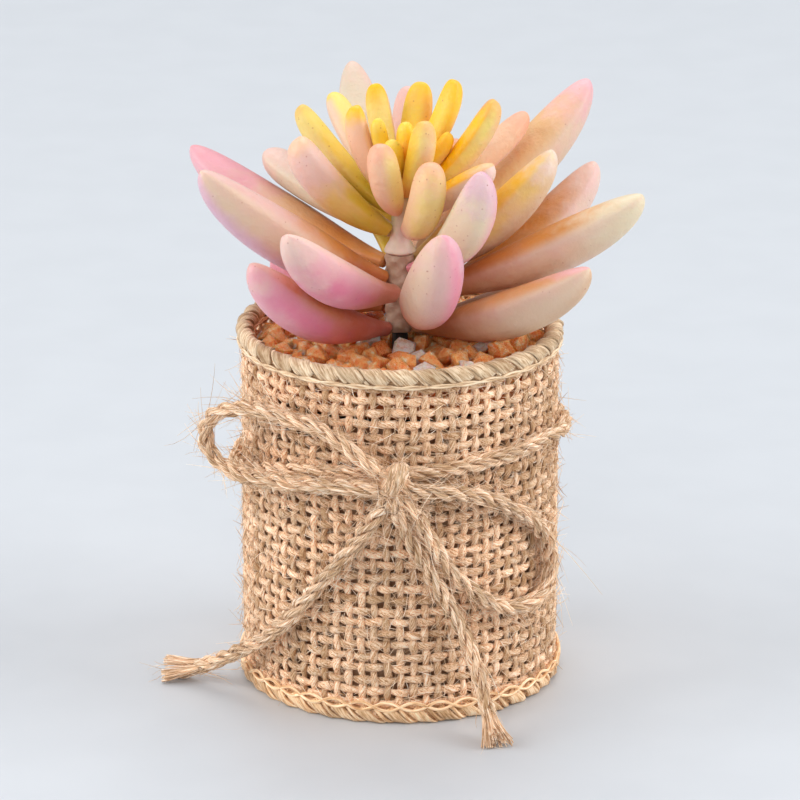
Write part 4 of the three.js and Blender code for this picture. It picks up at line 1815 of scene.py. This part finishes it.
UPPER_LEAVES = (
    Leaf(-170, 88.2, 47, -14, 25.5, 8.2, 7, T.HONEY,
         (belly(T.STRAW, 0.5, 1.0, 0.6), top(T.OLIVE, -0.1, 0.5, 0.9), tip(T.BLUSH, 0.4, 0.75),
          tip(T.PEACH, 0.8, 1.0), heel(T.OLIVE, 0.5, 0.15)), specks=0.6),
    Leaf(158, 91.6, 45, -8, 26, 5.4, 4.8, T.STRAW,
         (top(T.YELLOW, 0.1, 0.8, 0.8), tip(T.LEMON, 0.6, 0.85, 0.7), tip(T.AMBER, 0.88, 1.02, 0.7),
          heel(T.OLIVE, 0.6, 0.2)), specks=0.8),
    Leaf(121, 93.6, 33, -8, 27.5, 5.8, 4.4, T.LEMON,
         (flank(T.BLUSH, 1, 0.2, 0.9, 0.8), tip(T.YELLOW, 0.85, 1.0, 0.8))),
    Leaf(-174, 94.4, 71, -12, 19, 5.4, 4.4, T.PEACH,
         (flank(T.STRAW, -1, 0.4, 1.0, 0.8), tip(T.GOLD, 0.78, 0.98), heel(T.OLIVE, 0.4, 0.1)), specks=0.5),
    Leaf(119, 96.4, 66, -6, 19.2, 4.8, 4.2, T.LEMON,
         (flank(T.DUSTY, -1, 0.5, 1.0), tip(T.GOLD, 0.7, 0.95)), specks=0.6),
    Leaf(-146, 99.2, 75, -4, 11.5, 3.4, 3, T.YELLOW, (), specks=0.9),
    Leaf(71, 94, 62, -6, 22, 5.8, 4.6, T.YELLOW,
         (flank(T.AMBER, -1, 0.1, 0.8), tip(T.GOLD, 0.75, 1.0)), specks=0.5),
    Leaf(30, 98.6, 60, -14, 19.6, 5.2, 4.2, T.YELLOW,
         (belly(T.PEACH, 0.5, 1.1, 0.8), tip(T.GOLD, 0.7, 1.0)), specks=0.4),
    Leaf(-10, 97.5, 53, -8, 12.2, 3.6, 3.2, T.YELLOW,
         (belly(T.PEACH, 0.3, 1.0, 0.7), tip(T.GOLD, 0.5, 0.9))),
    Leaf(-74, 99.6, 80, -3, 10.4, 3.4, 3, T.GOLD, (tip(T.YELLOW, 0.5, 0.9),), specks=0.9),
    Leaf(-60, 95.4, 66, -16, 17.5, 5.4, 4.6, T.LEMON,
         (belly(T.PEACH, 0.7, 1.1, 0.7), top(T.GOLD, -0.2, 0.5), flank(T.YELLOW, -1, 0.6, 1.0),
          tip(T.AMBER, 0.8, 1.02, 0.7), heel(T.AMBER, 0.5, 0.1)), specks=0.7),
    Leaf(-107, 92.2, 57, -20, 19, 6.2, 5.2, T.PEACH,
         (flank(T.STRAW, 1, 0.1, 0.8), flank(T.SALMON, -1, 0.3, 1.0, 0.7), tip(T.SALMON, 0.78, 1.02),
          heel(T.SALMON, 0.4, 0.05, 0.8)), specks=0.6),
    Leaf(-71, 88.6, 51, -34, 22.5, 6.8, 6.4, T.STRAW,
         (flank(T.PEACH, -1, 0.5, 1.1, 0.8), top(T.AMBER, 0.0, 0.6), tip(T.SALMON, 0.75, 1.02, 0.8),
          heel(T.PINK, 0.36, 0.05, 0.7)), seat=-50, specks=0.4),
    Leaf(-31, 90.6, 35, 4, 22, 6, 5, T.PALE,
         (top(T.GOLD, -0.25, 0.25), tip(T.BLUSH, 0.75, 1.0, 0.6))),
    Leaf(-3, 93.4, 52, -12, 25.5, 6.4, 5, T.LEMON,
         (belly(T.PEACH, 0.4, 1.0, 0.7), top(T.GOLD, -0.25, 0.3), Wash(T.CLAY, 0.6, 0, 0.6, 1.0, 1.2),
          tip(T.AMBER, 0.8, 1.0, 0.8), heel(T.OLIVE, 0.45, 0.1))),
    Leaf(35, 91.4, 28, -8, 31, 6, 5, T.PEACH,
         (belly(T.PINK, 0.5, 1.0, 0.7), tip(T.SALMON, 0.75, 1.0), heel(T.HONEY, 0.6, 0.3))),
    Leaf(-102, 97.6, 62, -6, 11, 3.8, 3.2, T.YELLOW, (), specks=0.8),
    Leaf(86, 90.2, 44, -8, 28, 5.6, 5, T.DUSTY, (heel(T.AMBER, 0.4, 0.1),)),
    Leaf(62, 87.6, 28, -10, 25, 7, 5.6, T.PEACH,
         (top(T.YELLOW, 0.2, 1.0, 0.6), tip(T.SALMON), heel(T.OLIVE))),
    Leaf(138, 87.4, 16, -4, 33.5, 8, 6, T.MILK,
         (top(T.DUSTY, 0.2, 0.9, 0.6), tip(T.BLUSH, 0.7, 1.0, 0.7), heel(T.TAN, 0.6, 0.2)), widest=0.7),
)


@dataclass(frozen=True)
class Specks:
    """One size of dark specks: its cells for each metre, and how many more on each next leaf."""

    cells: float
    more: float
    size: float
    strength: float


@dataclass
class Rosette:
    """One tier of leaves."""

    style: LeafStyle
    leaves: Sequence[Leaf]
    rim: Tint
    top_share: float = 0.32
    squareness: float = 0.85
    keenness: float = 1.25
    clearance: float = 0.3
    around: int = 36
    rings: int = 30
    cloud_scale: float = 190.0
    cloud_more: float = 7.0
    fine_scale: float = 1500.0
    ragged: float = 0.36
    bloom: float = 0.14
    rim_strength: float = 0.22
    specks: Sequence[Specks] = (Specks(330.0, 3.0, 0.08, 0.55), Specks(760.0, 0.0, 0.17, 0.35))
    relief: float = 0.00035

    def build(self) -> None:
        """Makes and dresses every leaf of the tier."""
        for number, leaf in enumerate(self.leaves, 1):
            name = f"{self.style.tier}_leaf_{number:02d}"
            mesh = self._mesh(name + "_fleshy", leaf)
            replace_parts(settle(mesh, self._material(name, leaf, number)), name)

    def _mesh(self, name: str, leaf: Leaf) -> bpy.types.Mesh:
        """Draws a sphere out along the leaf's arc.

        Args:
            name: Name of the mesh.
            leaf: The leaf.

        Returns:
            The closed mesh, with each point's share, side and lift in the attribute leaf.
        """
        bm = bmesh.new()
        bmesh.ops.create_uvsphere(bm, u_segments=self.around, v_segments=self.rings, radius=1)
        ball = np.array([v.co for v in bm.verts])
        share = (1 - ball[:, 2]) / 2
        angle = np.arctan2(ball[:, 1], ball[:, 0])
        is_pole = np.abs(ball[:, 2]) > 0.99999
        girth = np.where(is_pole, 0, self.style.fullness(leaf, share))
        outward = polar(1, math.radians(leaf.azimuth), 0)
        sideways = np.cross(UP, outward)
        seat = math.radians(leaf.azimuth if leaf.seat is None else leaf.seat)
        start = polar(self.style.stem + self.clearance, seat, leaf.foot)
        first = math.radians(leaf.rise + leaf.curl)
        sweep = math.radians(-2 * leaf.curl)
        arc = leaf.length / sweep
        pitch = (first + sweep * share)[:, None]
        out = arc * (np.sin(pitch) - math.sin(first))
        rise = arc * (math.cos(first) - np.cos(pitch))
        above = np.cross(outward * np.cos(pitch) + UP * np.sin(pitch), sideways)
        edge, lift = np.cos(angle), np.sin(angle)
        spread = np.sign(edge) * np.abs(edge) ** self.squareness
        bulge = np.sign(lift) * np.abs(lift) ** self.keenness
        thickness = leaf.depth * np.where(lift > 0, self.top_share, 1 - self.top_share)
        places = (
            start
            + outward * out
            + UP * rise
            + sideways * (leaf.width / 2 * girth * spread)[:, None]
            + above * (thickness * girth * bulge)[:, None]
        )
        for vert, place in zip(bm.verts, places * MM):
            vert.co = place
        bmesh.ops.recalc_face_normals(bm, faces=bm.faces)
        mesh = meshed(bm, name)
        marks = np.stack([share, spread, lift], axis=-1).astype(np.float32)
        mesh.attributes.new("leaf", "FLOAT_VECTOR", "POINT").data.foreach_set("vector", marks.ravel())
        return mesh

    def _material(self, name: str, leaf: Leaf, number: int) -> bpy.types.Material:
        """Paints a leaf: its body, its washes, a pale bloom, a tinted rim and specks.

        Args:
            name: Name of the material.
            leaf: The leaf and its washes.
            number: The leaf's number, which shifts its mottling.

        Returns:
            The material.
        """
        paint = Paint(name + "_paint")
        where = paint.placed()
        share = paint.node("ShaderNodeSeparateXYZ", inputs={0: paint.attribute("leaf")})
        side, lift = share.other(1), share.other(2)
        cloud_scale = self.cloud_scale + number * self.cloud_more
        cloud = paint.noise(where, cloud_scale, detail=3.0, rough=0.55)
        fine = paint.noise(where, self.fine_scale, detail=3.0, rough=0.6)
        colour: Wire | str = leaf.body.value
        for wash in leaf.washes:
            reach = cloud * self.ragged - self.ragged / 2
            for weight, part in ((wash.along, share), (wash.side, side), (wash.lift, lift)):
                if weight:
                    reach = reach + part * weight
            mask = reach.rises(wash.start, wash.end) * wash.strength
            colour = paint.blend(mask, colour, wash.tint.value)
        bloom = (cloud + fine * 0.3).rises(0.5, 0.95) * self.bloom
        colour = paint.blend(bloom, colour, Tint.PALE.value)
        rim = (abs(side) + cloud * 0.3).rises(1.0, 1.28) * self.rim_strength
        colour = paint.blend(rim, colour, self.rim.value)
        rarity = 1.55 - leaf.specks
        for kind in self.specks:
            scale = kind.cells + number * kind.more
            cells = paint.node("ShaderNodeTexVoronoi", inputs={"Vector": where, "Scale": scale})
            pick = paint.node("ShaderNodeSeparateColor", inputs={0: cells.other("Color")})
            chosen = (pick + share * 0.5).rises(rarity, rarity + 0.001)
            dots = cells.rises(kind.size, kind.size * 0.45) * chosen
            colour = paint.blend(dots * kind.strength, colour, Tint.SPECK.value)
        return paint.finish(
            Base_Color=colour,
            Roughness=(cloud * 0.5 + fine * 0.5).rises(0.2, 0.8, 0.32, 0.52),
            Normal=paint.bump(fine * 0.35 + cloud, self.relief),
            Subsurface_Weight=0.22,
            Subsurface_Radius=(1.0, 0.55, 0.35),
            Subsurface_Scale=0.0025,
            Specular_IOR_Level=0.4,
        )


# ---- Assembly ----


def main() -> None:
    """Builds the model and reports each piece."""
    logging.basicConfig(level=logging.INFO, format="%(message)s")
    Studio().build()
    Bow(Twine()).build()
    BurlapSleeve().build()
    PotFilling().build()
    Stems().build()
    Rosette(LOWER_STYLE, LOWER_LEAVES, Tint.ROSE).build()
    Rosette(UPPER_STYLE, UPPER_LEAVES, Tint.ORANGE).build()


if __name__ == "__main__":
    main()
